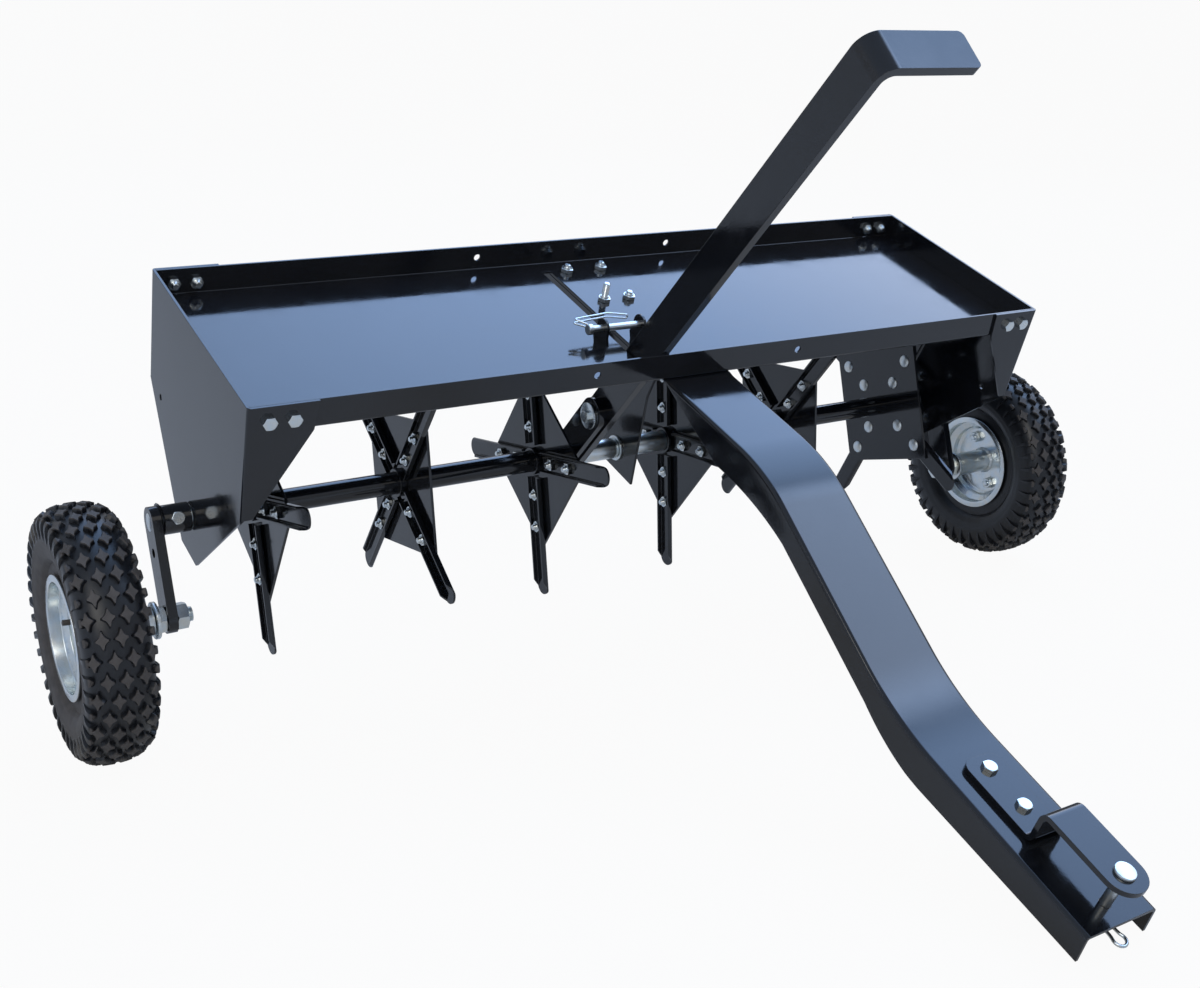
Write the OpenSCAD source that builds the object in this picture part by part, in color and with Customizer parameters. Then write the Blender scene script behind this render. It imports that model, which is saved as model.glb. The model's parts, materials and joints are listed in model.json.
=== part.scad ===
// Tow behind plug aerator with a weight tray, two tine gangs and a lift axle.
// Machine frame: x across, y to the rear, z up, origin on the lift axle.
// parked() then stands the machine on its wheels and its tongue end.

/* [Tray and end plates] */
// Width over the two end plates
width = 1016; // [980:1:1080]
// Depth over the end plate flanges
depth = 287; // [281:1:292]
// Height of the tray rim above the lift axle
rim_z = 213.5; // [210:0.5:220]
// Height of the front and rear tray flanges
flange_h = 31; // [27:1:32]
// Tray sheet thickness
tray_sheet = 2.5; // [2:0.1:3]
// Width of the lever slot in the tray floor
slot_w = 12.5; // [11.5:0.5:12.5]
// Front end of the lever slot from the axle
slot_front = 127; // [125:1:132]
// Rear end of the lever slot from the axle
slot_rear = 116; // [114:0.5:124]
// Diameter of the strap holes in the tray flanges
strap_d = 8; // [5:0.5:10]
// Distance of the strap holes from the middle
strap_x = 132.5; // [110:0.5:160]
// Depth of the strap and corner holes below the rim
hole_drop = 14.2; // [12:0.1:16]
// End plate sheet thickness
plate_sheet = 3; // [2.5:0.1:3.5]
// Height where the end plate edges turn inward
plate_turn_z = 90; // [88:1:110]
// Depth of the end plate foot below the axle
plate_drop = 48; // [40:1:55]
// Width of the end plate foot
plate_foot = 47; // [40:1:60]
// Width of the end plate flange at the rim
gusset_w = 70; // [66:1:80]
// Distance of the outer corner bolts from the plate
corner_in = 21; // [18:1:23]
// Pitch of the corner bolts
corner_pitch = 24; // [20:1:30]

/* [Tongue] */
// Width of the tongue channel
tongue_w = 86; // [80:0.5:86]
// Tongue sheet thickness
tongue_sheet = 3; // [2.5:0.1:4]
// Depth of the tongue side walls
tongue_h = 38; // [34:1:42]
// Depth of the tongue side walls at the hitch
tongue_end_h = 28.5; // [26:0.5:34]
// Distance of the tongue end ahead of the axle
tongue_reach = 827; // [800:1:880]
// Where the first tongue bend is centred ahead of the axle
bend_a_y = 318.4; // [300:0.1:330]
// Slope of the middle of the tongue
slope_a = 23.65; // [20:0.05:25]
// Length of the tongue ahead of its second bend
front_run = 256; // [240:1:280]
// Slope of the front of the tongue
slope_b = 4.1; // [3:0.1:6]
// Straight length used up on each side of the first bend
bend_a_t = 45; // [30:1:60]
// Straight length used up on each side of the second bend
bend_b_t = 55; // [30:1:65]

/* [Hitch] */
// Width of the hitch bar
clevis_w = 42; // [38:0.5:44]
// Thickness of the hitch bar
clevis_t = 5.5; // [5:0.5:8]
// Clear height between the tongue and the hitch bar
clevis_gap = 33.5; // [30:0.5:38]
// Depth of the hitch throat
clevis_throat = 92; // [85:1:96]
// Overall length of the hitch bar
clevis_len = 187; // [184:1:200]
// Diameter of the hitch pin
hitch_d = 12.7; // [12:0.1:13.5]
// Distance of the hitch pin from the tongue end
hitch_in = 21; // [20:0.5:24]
// Diameter of the hitch clip wire
clip_d = 3; // [2.5:0.1:3.2]

/* [Lift axle and lever] */
// Diameter of the lift axle
axle_d = 19; // [18:0.1:20]
// Width of the lever bar
lever_w = 42; // [38:0.5:42]
// Thickness of the lever bar
lever_t = 9.5; // [8:0.5:9.5]
// Distance of the middle of the lever left of centre
lever_off = 49.25; // [49:0.05:49.5]
// Length of the lever from the axle to the grip top
lever_r = 686; // [640:1:720]
// How far the grip reaches right of centre
grip_end = 60; // [40:1:80]
// Forward lean of the lever when parked
lever_lean = 28.1; // [27:0.1:28.5]
// Outer radius of the grip bend
grip_bend = 20; // [16:1:26]
// Width of the lower lever arm
low_w = 38; // [34:1:42]
// Length of the lower lever arm from the axle
low_len = 118; // [112:1:124]
// Distance of the lever bolt from the axle
lever_bolt_r = 95; // [90:1:97]
// Distance between the lift axle and the wheel axles
arm_len = 100; // [95:1:110]
// Wheel arm angle from straight up, turned forward
arm_ang = 144; // [138:1:150]
// Width of the wheel arm bars
arm_w = 32; // [30:0.5:36]
// Thickness of the wheel arm bars
arm_t = 10; // [8:0.5:12]
// Diameter of the spacer sleeves
sleeve_d = 25; // [24:0.5:26]

/* [Lock] */
// Diameter of the lock pin
lock_d = 8; // [7:0.5:9]
// Distance of the lock pin ahead of the axle
lock_y = 50; // [49:0.5:52]
// Height of the lock pin above the tray floor
lock_z = 15.5; // [13:0.5:18]
// Distance between the lock ears
ear_gap = 48; // [44:1:52]
// Width of a lock ear at its base
ear_w = 30; // [28:1:32]

/* [Wheels] */
// Tyre diameter
tyre_d = 265; // [255:1:280]
// Tyre width
tyre_w = 70; // [66:1:76]
// Distance of a wheel from the middle
wheel_x = 624.6; // [620:0.1:640]
// Tread lugs in one row round a tyre
lug_n = 22; // [18:1:26]
// Height of the tread lugs
lug_h = 5; // [3:0.5:6]
// Spacing of the lug rows across a tyre
lug_row = 9.6; // [9:0.1:11]
// Length of a tread lug round the tyre
lug_l = 17; // [14:0.5:18]
// Width of a tread lug across the tyre
lug_w = 14; // [12:0.5:15]
// Diameter of the tyre seat on the rim
seat_d = 118; // [114:1:122]
// Width of the rim over its lips
rim_w = 58; // [56:1:62]
// Rim sheet thickness
rim_sheet = 2.2; // [1.8:0.1:2.6]
// Diameter of the wheel axle bolts
stub_d = 16; // [15:0.1:17]
// Diameter of the wheel hub tube
hub_d = 31; // [30:0.5:34]
// Reach of the hub tube outward from the middle of the wheel
hub_out = 4; // [3:0.5:20]

/* [Gangs] */
// Diameter of the gang tubes
gang_d = 25.4; // [25:0.1:27]
// Half width of the square tine plates
square_half = 75; // [68:1:78]
// Thickness of the square tine plates
square_t = 3; // [2.5:0.1:4]
// Distance of the tine tips from the axle
tine_tip = 163; // [150:1:164]
// Width of a tine trough
tine_w = 20; // [19:0.5:23]
// Depth of a tine trough
tine_h = 12.4; // [11:0.1:14]
// Tine sheet thickness
tine_sheet = 2.5; // [2:0.1:3]
// Diameter of the tine bolts
tine_bolt_d = 7; // [6:0.5:8]

/* [Fits] */
// Radial clearance of running fits
run_c = 0.05; // [0.03:0.01:0.08]
// Radial clearance of bolt holes
hole_c = 0.3; // [0.2:0.05:0.4]
// Side gap between bodies that turn on each other
side_gap = 0.8; // [0.5:0.1:1]

/* [Hidden] */
$fn = 64;
eps = 0.01;
x_out = width / 2;
x_in = x_out - plate_sheet;
y_out = depth / 2;
y_tray = y_out - plate_sheet;
floor_z = rim_z - flange_h;
floor_top = floor_z + tray_sheet;
corner_z = rim_z - hole_drop - 1.8;
bolt_d = 8;
stud_x = 17;
stud_y = 36;
stud_rise = 16;
rear_x = 23.5;
rear_y = y_tray - 27.5;

lever_x0 = -lever_off - lever_t / 2;
lever_x1 = lever_x0 + lever_t;
low_x0 = lever_x0 - 9.5;
lever_bolt_d = 8;
hanger_x0 = 18;
hanger_x1 = hanger_x0 + 3;
hanger_drop = 27;
hanger_front = 43;
hanger_rear = 52;
hanger_neck = 6;
hanger_neck_z = 93;
hanger_top_front = 60;
hanger_top_rear = 24;
bush_flange_d = 31;
bush_flange_t = 3;
bush_d = 25;
arm_x0 = x_out + 33;
arm_x1 = arm_x0 + arm_t;
arm_hub_d = 31;
cross_x = x_out + 17;
wheel_y = -arm_len * sin(arm_ang);
wheel_z = arm_len * cos(arm_ang);

stub_nut = 0.8 * stub_d;
jam_h = 0.5 * stub_d;
disc_t = 4;
disc_d = 39;
hub_x0 = arm_x1 + jam_h + disc_t + side_gap;
hub_in = wheel_x - hub_x0;
stub_head = 0.5 * stub_d;
washer_t = 2.5;
bearing_d = 27;
bearing_w = 11;
rim_bolts = 4;
rim_bolt_r = 34;

gang_in_l = low_x0 - side_gap;
gang_in_r = 87.5;
gang_end = x_in - bush_flange_t - side_gap;
gang_bore = gang_d - 4.4;
root_r = 20;
inner_bolt_r = 41;
outer_bolt_r = 79.4;
wheel_out_l = -(x_out - 71);
wheel_in_l = gang_in_l - 29.7;
wheel_in_r = gang_in_r + 5.5;
wheel_out_r = x_out - 58;
spiders_l = [
  [wheel_out_l, 61, 1], [(wheel_out_l + wheel_in_l) / 2 - 2.5, 20, 1], [wheel_in_l, 64.5, 1]];
spiders_r = [
  [wheel_in_r, 68.5, 1], [(wheel_in_r + wheel_out_r) / 2 - 3.5, 23.5, 1], [wheel_out_r, 12, -1]];

ear_x0 = -24 - ear_gap;
ear_x1 = -24;
ear_t = 3;
pin_z = floor_top + lock_z;
pin_y = -lock_y;

// Tongue path, from the rear end of the tongue to its front end
lead_z = floor_z;
bend_b_y = tongue_reach - front_run;
taper_y = bend_b_y + 29;
kink_b_z = lead_z - (bend_b_y - bend_a_y) * tan(slope_a);
end_z = kink_b_z - (tongue_reach - bend_b_y) * tan(slope_b);
turn_b = slope_a - slope_b;
rad_a = bend_a_t / tan(slope_a / 2);
rad_b = bend_b_t / tan(turn_b / 2);
arc_a_y = -bend_a_y + bend_a_t;
arc_b_y = -bend_b_y + bend_b_t * cos(slope_a);
arc_b_z = kink_b_z + bend_b_t * sin(slope_a);
bend_n = 12;
wall_start = y_tray - 0.5;
wall_full = 251;
function pt_a(t) = [arc_a_y - rad_a * sin(t), lead_z - rad_a * (1 - cos(t)), t];
function pt_b(t) = [
  arc_b_y - rad_b * (sin(slope_a) - sin(t)),
  arc_b_z - rad_b * (cos(t) - cos(slope_a)),
  t];
tongue_rear = y_tray - tray_sheet;
path = concat(
  [[tongue_rear, lead_z, 0], [-wall_start, lead_z, 0], [-wall_full, lead_z, 0]],
  [for (i = [0:bend_n]) pt_a(slope_a * i / bend_n)],
  [for (i = [0:bend_n]) pt_b(slope_a - turn_b * i / bend_n)],
  [[-tongue_reach, end_z, slope_b]]);
front_path = [for (p = path) if (p[0] <= -wall_start + eps) p];
function drop(p, d) = [p[0] - d * sin(p[2]), p[1] - d * cos(p[2])];
function wall_depth(y) =
  y > -wall_full ? tongue_sheet + (tongue_h - tongue_sheet) * (-y - wall_start) / (wall_full - wall_start) :
  y > -taper_y ? tongue_h :
  tongue_h + (tongue_end_h - tongue_h) * (-y - taper_y) / (tongue_reach - taper_y);
function end_cut(p, d) = p[0] <= -tongue_reach + eps ? [p[0], p[1] - d / cos(p[2])] : drop(p, d);

// Resting stance: the tongue end and both tyres stand on the floor
low_end_y = -tongue_reach;
low_end_z = end_z - tongue_end_h / cos(slope_b);
rest_dy = wheel_y - low_end_y;
rest_dz = low_end_z - wheel_z;
tilt = atan2(rest_dz, rest_dy) + asin(tyre_d / 2 / norm([rest_dy, rest_dz]));
axle_h = tyre_d / 2 - wheel_y * sin(tilt) - wheel_z * cos(tilt);
hitch_top = clevis_gap + clevis_t;
nose_y = (-tongue_reach - hitch_top * sin(slope_b)) * cos(tilt) - (end_z + hitch_top * cos(slope_b)) * sin(tilt);
tine_turns = [for (p = concat(spiders_l, spiders_r)) p[1] + tilt];
tine_side = max([for (t = tine_turns) max(abs(sin(t)), abs(cos(t)))]);
tail_y = (tine_tip - tine_w / 2) * tine_side + tine_w / 2;
frame_y = -(nose_y + tail_y) / 2;

module parked() {
  translate([0, frame_y, axle_h])
    rotate([tilt, 0, 0])
      children();
}

module paint() {
  color([0.07, 0.08, 0.10])
    parked()
      children();
}

module zinc() {
  color([0.78, 0.80, 0.82])
    parked()
      children();
}

module rubber() {
  color([0.09, 0.09, 0.09])
    parked()
      children();
}

module rod_x(x0, x1, d) {
  translate([x0, 0, 0])
    rotate([0, 90, 0])
      cylinder(d = d, h = x1 - x0);
}

module slab_x(x0, x1) {
  translate([x0, 0, 0])
    rotate([90, 0, 90])
      linear_extrude(x1 - x0)
        children();
}

module sleeve_x(x0, x1, d, bore) {
  difference() {
    rod_x(x0, x1, d);
    rod_x(x0 - 1, x1 + 1, bore);
  }
}

module side(s) {
  mirror([s < 0 ? 1 : 0, 0, 0])
    children();
}

// Fasteners stand along z with the head below zero
module hex_bolt(d, length) {
  translate([0, 0, -0.65 * d])
    cylinder(d = 1.6 * d / cos(30), h = 0.65 * d, $fn = 6);
  cylinder(d = d, h = length);
}

module hex_nut(d, h) {
  difference() {
    cylinder(d = 1.6 * d / cos(30), h = h, $fn = 6);
    translate([0, 0, -1])
      cylinder(d = d, h = h + 2);
  }
}

module hole_z(d, from, to) {
  translate([0, 0, from])
    cylinder(d = d + 2 * hole_c, h = to - from);
}

// Tray and end plates
module corner_places() {
  for (f = [-1, 1])
    for (s = [-1, 1])
      for (k = [0, 1])
        translate([s * (x_out - corner_in - k * corner_pitch), f * y_out, corner_z])
          rotate([f * 90, 0, 0])
            children();
}

module strap_holes() {
  for (s = [-1, 1])
    translate([s * strap_x, y_out + 1, rim_z - hole_drop])
      rotate([90, 0, 0])
        cylinder(d = strap_d, h = depth + 2);
}

module tongue_places(pair) {
  if (pair != 1)
    for (s = [-1, 1])
      translate([s * rear_x, rear_y, floor_z - tongue_sheet])
        children();
  if (pair != 0)
    for (s = [-1, 1])
      translate([s * stud_x, stud_y, floor_z - tongue_sheet])
        children();
}

module tray() {
  paint()
    difference() {
      union() {
        translate([-x_in, -y_tray, floor_z])
          cube([2 * x_in, 2 * y_tray, tray_sheet]);
        for (f = [-1, 1])
          translate([-x_in, f * (y_tray - tray_sheet / 2) - tray_sheet / 2, floor_z])
            cube([2 * x_in, tray_sheet, flange_h]);
      }
      translate([-lever_off - slot_w / 2, -slot_front, floor_z - 1])
        cube([slot_w, slot_front + slot_rear, tray_sheet + 2]);
      corner_places()
        hole_z(bolt_d, -1, 10);
      tongue_places(2)
        hole_z(bolt_d, -1, 10);
      strap_holes();
    }
}

module gusset() {
  rotate([90, 0, 0])
    linear_extrude(plate_sheet)
      polygon([
        [x_out, plate_turn_z],
        [x_out - 11, plate_turn_z],
        [x_out - gusset_w + 4, floor_z],
        [x_out - gusset_w, rim_z],
        [x_out, rim_z]]);
}

module end_plate(s) {
  paint()
    difference() {
      side(s) {
        slab_x(x_in, x_out)
          polygon([
            [-y_out, rim_z], [y_out, rim_z], [y_out, plate_turn_z],
            [plate_foot / 2, -plate_drop], [-plate_foot / 2, -plate_drop],
            [-y_out, plate_turn_z]]);
        translate([0, -y_out + plate_sheet, 0])
          gusset();
        translate([0, y_out, 0])
          gusset();
      }
      corner_places()
        hole_z(bolt_d, -1, 10);
      rod_x(-x_out - 1, x_out + 1, bush_d);
      for (f = [-1, 1])
        translate([0, f * 105, 82])
          rod_x(-x_out - 1, x_out + 1, 7);
    }
}

module end_plate_left() {
  end_plate(-1);
}

module end_plate_right() {
  end_plate(1);
}

module corner_bolts() {
  zinc()
    corner_places()
      hex_bolt(bolt_d, plate_sheet + tray_sheet + 0.8 * bolt_d + 3);
}

module corner_nuts() {
  zinc()
    corner_places()
      translate([0, 0, plate_sheet + tray_sheet])
        hex_nut(bolt_d, 0.8 * bolt_d);
}

// Tongue: a channel open downward, bent twice
module tongue_profile(d) {
  polygon(concat(
    [for (p = path) [p[0], p[1]]],
    [for (i = [len(path) - 1:-1:0]) end_cut(path[i], d)]));
}

module wall_profile() {
  polygon(concat(
    [for (p = front_path) [p[0], p[1]]],
    [for (i = [len(front_path) - 1:-1:0]) end_cut(front_path[i], wall_depth(front_path[i][0]))]));
}

module on_hitch() {
  translate([0, -tongue_reach, end_z])
    rotate([slope_b, 0, 0])
      children();
}

module hitch_rows() {
  for (u = [clevis_len - 16, clevis_len - 62])
    translate([0, u, 0])
      children();
}

module tongue() {
  paint()
    difference() {
      union() {
        slab_x(-tongue_w / 2, tongue_w / 2)
          tongue_profile(tongue_sheet);
        slab_x(-tongue_w / 2, -tongue_w / 2 + tongue_sheet)
          wall_profile();
        slab_x(tongue_w / 2 - tongue_sheet, tongue_w / 2)
          wall_profile();
      }
      tongue_places(2)
        hole_z(bolt_d, -1, 10);
      on_hitch() {
        hitch_rows()
          hole_z(10, -10, 10);
        translate([0, hitch_in, 0])
          hole_z(hitch_d, -10, 10);
      }
    }
}

module tongue_bolts() {
  zinc() {
    tongue_places(0)
      hex_bolt(bolt_d, tongue_sheet + tray_sheet + 0.8 * bolt_d + 3);
    translate([2 * stud_x, 0, 0])
      translate([-stud_x, stud_y, floor_z - tongue_sheet])
        hex_bolt(bolt_d, tongue_sheet + tray_sheet + 0.8 * bolt_d + 3);
    translate([-stud_x, stud_y, floor_z - tongue_sheet])
      hex_bolt(bolt_d, tongue_sheet + tray_sheet + 0.8 * bolt_d + stud_rise);
  }
}

module tongue_nuts() {
  zinc()
    tongue_places(2)
      translate([0, 0, tongue_sheet + tray_sheet])
        hex_nut(bolt_d, 0.8 * bolt_d);
}

module hanger_plate() {
  paint()
    difference() {
      slab_x(hanger_x0, hanger_x1)
        polygon([
          [-hanger_front, -hanger_drop], [hanger_rear, -hanger_drop], [-hanger_neck, hanger_neck_z],
          [hanger_top_rear, floor_z - tongue_sheet], [-hanger_top_front, floor_z - tongue_sheet],
          [-hanger_neck - 31, hanger_neck_z]]);
      rod_x(hanger_x0 - 1, hanger_x1 + 1, bush_d);
    }
}

module axle_bushes() {
  zinc() {
    difference() {
      union() {
        rod_x(hanger_x0 - bush_flange_t, hanger_x0, bush_flange_d);
        rod_x(hanger_x0 - 1, hanger_x1, bush_d);
      }
      rod_x(hanger_x0 - 10, hanger_x1 + 10, axle_d + 2 * run_c);
    }
    for (s = [-1, 1])
      side(s)
        difference() {
          union() {
            rod_x(x_in - bush_flange_t, x_in, bush_flange_d);
            rod_x(x_in - 1, x_out, bush_d);
          }
          rod_x(x_in - 10, x_out + 10, axle_d + 2 * run_c);
        }
  }
}

// Lock ears, pin and wire
module ear(x) {
  difference() {
    slab_x(x - ear_t / 2, x + ear_t / 2)
      translate([pin_y, 0])
        union() {
          translate([0, pin_z])
            circle(r = 11);
          translate([-11, floor_top + 6])
            square([22, lock_z - 6]);
          polygon([
            [-ear_w / 2, floor_top], [ear_w / 2, floor_top],
            [11, floor_top + 8], [-11, floor_top + 8]]);
        }
    translate([0, pin_y, pin_z])
      rod_x(x - ear_t, x + ear_t, lock_d + 2 * run_c);
  }
}

module lock_ears() {
  paint() {
    ear(ear_x0);
    ear(ear_x1);
  }
}

module lock_pin() {
  zinc()
    translate([0, pin_y, pin_z]) {
      rod_x(ear_x0 - ear_t / 2 - 14, ear_x1 + ear_t / 2 + 2.5, lock_d);
      rod_x(ear_x0 - ear_t / 2 - 19, ear_x0 - ear_t / 2 - 13, 1.5 * lock_d);
    }
}

// A bent wire: straight runs with a slightly fuller ball at each bend
module wire(pts, d) {
  for (i = [0:len(pts) - 2])
    translate(pts[i])
      rotate([
        0,
        acos((pts[i + 1] - pts[i])[2] / norm(pts[i + 1] - pts[i])),
        atan2((pts[i + 1] - pts[i])[1], (pts[i + 1] - pts[i])[0])])
        cylinder(d = d, h = norm(pts[i + 1] - pts[i]));
  for (i = [1:len(pts) - 2])
    translate(pts[i])
      sphere(d = 1.15 * d);
}

wire_y = pin_y + 11 + 2.6;
wire_pts = [
  [ear_x0 - ear_t / 2 - 16, pin_y + 0.75 * lock_d - 1, pin_z],
  [ear_x0 - ear_t / 2 - 30, pin_y + 0.75 * lock_d + 8, pin_z + 2],
  [ear_x0 + 14, wire_y + 5, pin_z + 3],
  [ear_x1 - 10, wire_y, pin_z + 1],
  [ear_x1 - 9, wire_y, pin_z + 5.5],
  [ear_x0 + 14, wire_y + 5, pin_z + 7.5],
  [ear_x0 - ear_t / 2 - 29, pin_y + 0.75 * lock_d + 8.5, pin_z + 6.5]];

module lock_wire() {
  zinc()
    difference() {
      wire(wire_pts, 2);
      translate([0, pin_y, pin_z])
        rod_x(ear_x0 - ear_t / 2 - 19, ear_x0 - ear_t / 2 - 13, 1.5 * lock_d);
    }
}

// Hitch
module clevis_plan() {
  union() {
    translate([0, clevis_w / 2])
      circle(d = clevis_w);
    translate([-clevis_w / 2, clevis_w / 2])
      square([clevis_w, clevis_len - clevis_w / 2 - 12]);
    translate([-clevis_w / 2 + 12, clevis_len - 13])
      square([clevis_w - 24, 13]);
    for (s = [-1, 1])
      translate([s * (clevis_w / 2 - 12), clevis_len - 12])
        circle(r = 12);
  }
}

module hitch_clevis() {
  paint()
    on_hitch()
      difference() {
        intersection() {
          union() {
            translate([-clevis_w, clevis_throat, 0])
              cube([2 * clevis_w, clevis_len, clevis_t]);
            translate([-clevis_w, clevis_throat, 0])
              cube([2 * clevis_w, clevis_t, clevis_gap + clevis_t]);
            translate([-clevis_w, -1, clevis_gap])
              cube([2 * clevis_w, clevis_throat + clevis_t + 1, clevis_t]);
          }
          linear_extrude(clevis_gap + clevis_t + 1)
            clevis_plan();
        }
        hitch_rows()
          hole_z(10, -10, 20);
        translate([0, hitch_in, 0])
          hole_z(hitch_d, clevis_gap - 5, clevis_gap + clevis_t + 5);
      }
}

module clevis_bolts() {
  zinc()
    on_hitch()
      hitch_rows()
        translate([0, 0, clevis_t])
          mirror([0, 0, 1])
            hex_bolt(10, clevis_t + tongue_sheet + 11);
}

module clevis_nuts() {
  zinc()
    on_hitch()
      hitch_rows()
        translate([0, 0, -tongue_sheet - 8])
          hex_nut(10, 8);
}

pin_low = -31;
clip_w = -21;

module hitch_pin() {
  zinc()
    on_hitch()
      translate([0, hitch_in, 0])
        difference() {
          union() {
            translate([0, 0, pin_low])
              cylinder(d = hitch_d, h = clevis_gap + clevis_t - pin_low);
            translate([0, 0, clevis_gap + clevis_t])
              cylinder(d = 22, h = 5);
          }
          translate([0, 20, clip_w])
            rotate([90, 0, 0])
              cylinder(d = clip_d + 2 * run_c, h = 40);
        }
}

module hitch_clip() {
  zinc()
    on_hitch()
      translate([0, hitch_in, clip_w]) {
        translate([5, -24.5, 0])
          rotate_extrude()
            translate([6.5, 0])
              circle(d = clip_d + 0.6);
        translate([0, 16, 0])
          rotate([90, 0, 0])
            cylinder(d = clip_d, h = 36.3);
        wire([
          [10, -20.4, 0], [hitch_d / 2 + clip_d / 2 + 0.8, -6, 0],
          [hitch_d / 2 + clip_d / 2 + 0.8, 6, 0], [hitch_d / 2 + clip_d + 4, 14, 0]], clip_d);
      }
}

// Lift axle, lever and wheel arms
module lift_axle() {
  zinc()
    difference() {
      rod_x(-arm_x1, arm_x1, axle_d);
      arm_bolt_places()
        hole_z(bolt_d, -1, arm_hub_d + 1);
    }
}

module arm_bolt_places() {
  for (s = [-1, 1])
    rotate([arm_ang - 180, 0, 0])
      translate([s * cross_x, -arm_hub_d / 2, 0])
        rotate([-90, 0, 0])
          children();
}

module lower_arm() {
  paint()
    rotate([lever_lean, 0, 0])
      difference() {
        slab_x(low_x0, lever_x0)
          union() {
            circle(d = low_w);
            translate([-low_w / 2, 0])
              square([low_w, low_len - low_w / 2]);
            translate([0, low_len - low_w / 2])
              circle(d = low_w);
          }
        rod_x(low_x0 - 1, lever_x0 + 1, axle_d);
        translate([0, 0, lever_bolt_r])
          rod_x(low_x0 - 1, lever_x0 + 1, lever_bolt_d + 2 * hole_c);
      }
}

module lever() {
  paint()
    rotate([lever_lean, 0, 0])
      difference() {
        union() {
          slab_x(lever_x0, lever_x1)
            union() {
              circle(d = lever_w);
              translate([-lever_w / 2, 0])
                square([lever_w, lever_r - grip_bend]);
            }
          translate([lever_x0 + grip_bend, lever_w / 2, lever_r - grip_bend])
            rotate([90, 0, 0])
              linear_extrude(lever_w)
                intersection() {
                  difference() {
                    circle(r = grip_bend);
                    circle(r = grip_bend - lever_t);
                  }
                  translate([-grip_bend, 0])
                    square(grip_bend);
                }
          translate([0, 0, lever_r - lever_t])
            linear_extrude(lever_t)
              union() {
                translate([lever_x0 + grip_bend, -lever_w / 2])
                  square([grip_end - lever_x0 - grip_bend - 6, lever_w]);
                translate([grip_end - 7, -lever_w / 2 + 6])
                  square([7, lever_w - 12]);
                for (s = [-1, 1])
                  translate([grip_end - 6, s * (lever_w / 2 - 6)])
                    circle(r = 6);
              }
        }
        rod_x(lever_x0 - 1, lever_x1 + 1, axle_d + 2 * run_c);
        translate([0, 0, lever_bolt_r])
          rod_x(lever_x0 - 1, lever_x1 + 1, lever_bolt_d + 2 * hole_c);
      }
}

module at_lever_bolt(x) {
  rotate([lever_lean, 0, 0])
    translate([x, 0, lever_bolt_r])
      rotate([0, 90, 0])
        children();
}

module lever_bolt() {
  zinc()
    at_lever_bolt(low_x0 - 2.5)
      hex_bolt(lever_bolt_d, 2.5 + lever_x1 - low_x0 + 0.8 * lever_bolt_d + 2.5);
}

module lever_nut() {
  zinc()
    at_lever_bolt(lever_x1)
      hex_nut(lever_bolt_d, 0.8 * lever_bolt_d);
}

module at_wheel(s) {
  side(s)
    translate([0, wheel_y, wheel_z])
      children();
}

module washers() {
  zinc() {
    at_lever_bolt(low_x0 - 2.5)
      difference() {
        cylinder(d = 31, h = 2.5);
        hole_z(lever_bolt_d, -1, 4);
      }
    for (s = [-1, 1])
      at_wheel(s) {
        sleeve_x(arm_x1 + jam_h, arm_x1 + jam_h + disc_t, disc_d, stub_d);
        sleeve_x(wheel_x + hub_out + side_gap, wheel_x + hub_out + side_gap + washer_t, disc_d, stub_d);
      }
  }
}

module sleeves() {
  zinc() {
    sleeve_x(lever_x1, hanger_x0 - bush_flange_t - side_gap, sleeve_d, axle_d + 2 * run_c);
    sleeve_x(hanger_x1 + side_gap, gang_in_r - side_gap, sleeve_d, axle_d + 2 * run_c);
  }
}

module wheel_arm(s) {
  paint()
    side(s)
      difference() {
        union() {
          rotate([arm_ang, 0, 0])
            slab_x(arm_x0, arm_x1)
              union() {
                circle(d = arm_w);
                translate([-arm_w / 2, 0])
                  square([arm_w, arm_len]);
                translate([0, arm_len])
                  circle(d = arm_w);
              }
          rod_x(x_out + 2, arm_x0, arm_hub_d);
        }
        rod_x(x_out + 1, arm_x1 + 1, axle_d);
        rotate([arm_ang, 0, 0])
          translate([0, 0, 32])
            rod_x(arm_x0 - 1, arm_x1 + 1, 10);
        translate([0, wheel_y, wheel_z])
          rod_x(arm_x0 - 1, arm_x1 + 1, stub_d);
        rotate([arm_ang - 180, 0, 0])
          translate([cross_x, -arm_hub_d / 2, 0])
            rotate([-90, 0, 0])
              hole_z(bolt_d, -1, arm_hub_d + 1);
      }
}

module wheel_arm_left() {
  wheel_arm(-1);
}

module wheel_arm_right() {
  wheel_arm(1);
}

module arm_bolts() {
  zinc()
    arm_bolt_places()
      hex_bolt(bolt_d, arm_hub_d + 0.8 * bolt_d + 3);
}

module arm_nuts() {
  zinc()
    arm_bolt_places()
      translate([0, 0, arm_hub_d])
        hex_nut(bolt_d, 0.8 * bolt_d);
}

module wheel_axles() {
  zinc()
    for (s = [-1, 1])
      at_wheel(s) {
        rod_x(arm_x0 - stub_nut - 5, wheel_x + hub_out + side_gap + washer_t, stub_d);
        translate([wheel_x + hub_out + side_gap + washer_t, 0, 0])
          rotate([0, 90, 0])
            cylinder(d = 1.5 * stub_d / cos(30), h = stub_head, $fn = 6);
      }
}

module wheel_axle_nuts() {
  zinc()
    for (s = [-1, 1])
      at_wheel(s) {
        translate([arm_x0 - stub_nut, 0, 0])
          rotate([0, 90, 0])
            hex_nut(stub_d, stub_nut);
        translate([arm_x1, 0, 0])
          rotate([0, 90, 0])
            hex_nut(stub_d, jam_h);
      }
}

// Wheels: drawn about the x axis, outer side towards +x
module wheel_at(s) {
  at_wheel(s)
    translate([wheel_x, 0, 0])
      children();
}

module turn_x() {
  rotate([0, 90, 0])
    rotate_extrude($fn = 96)
      children();
}

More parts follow.
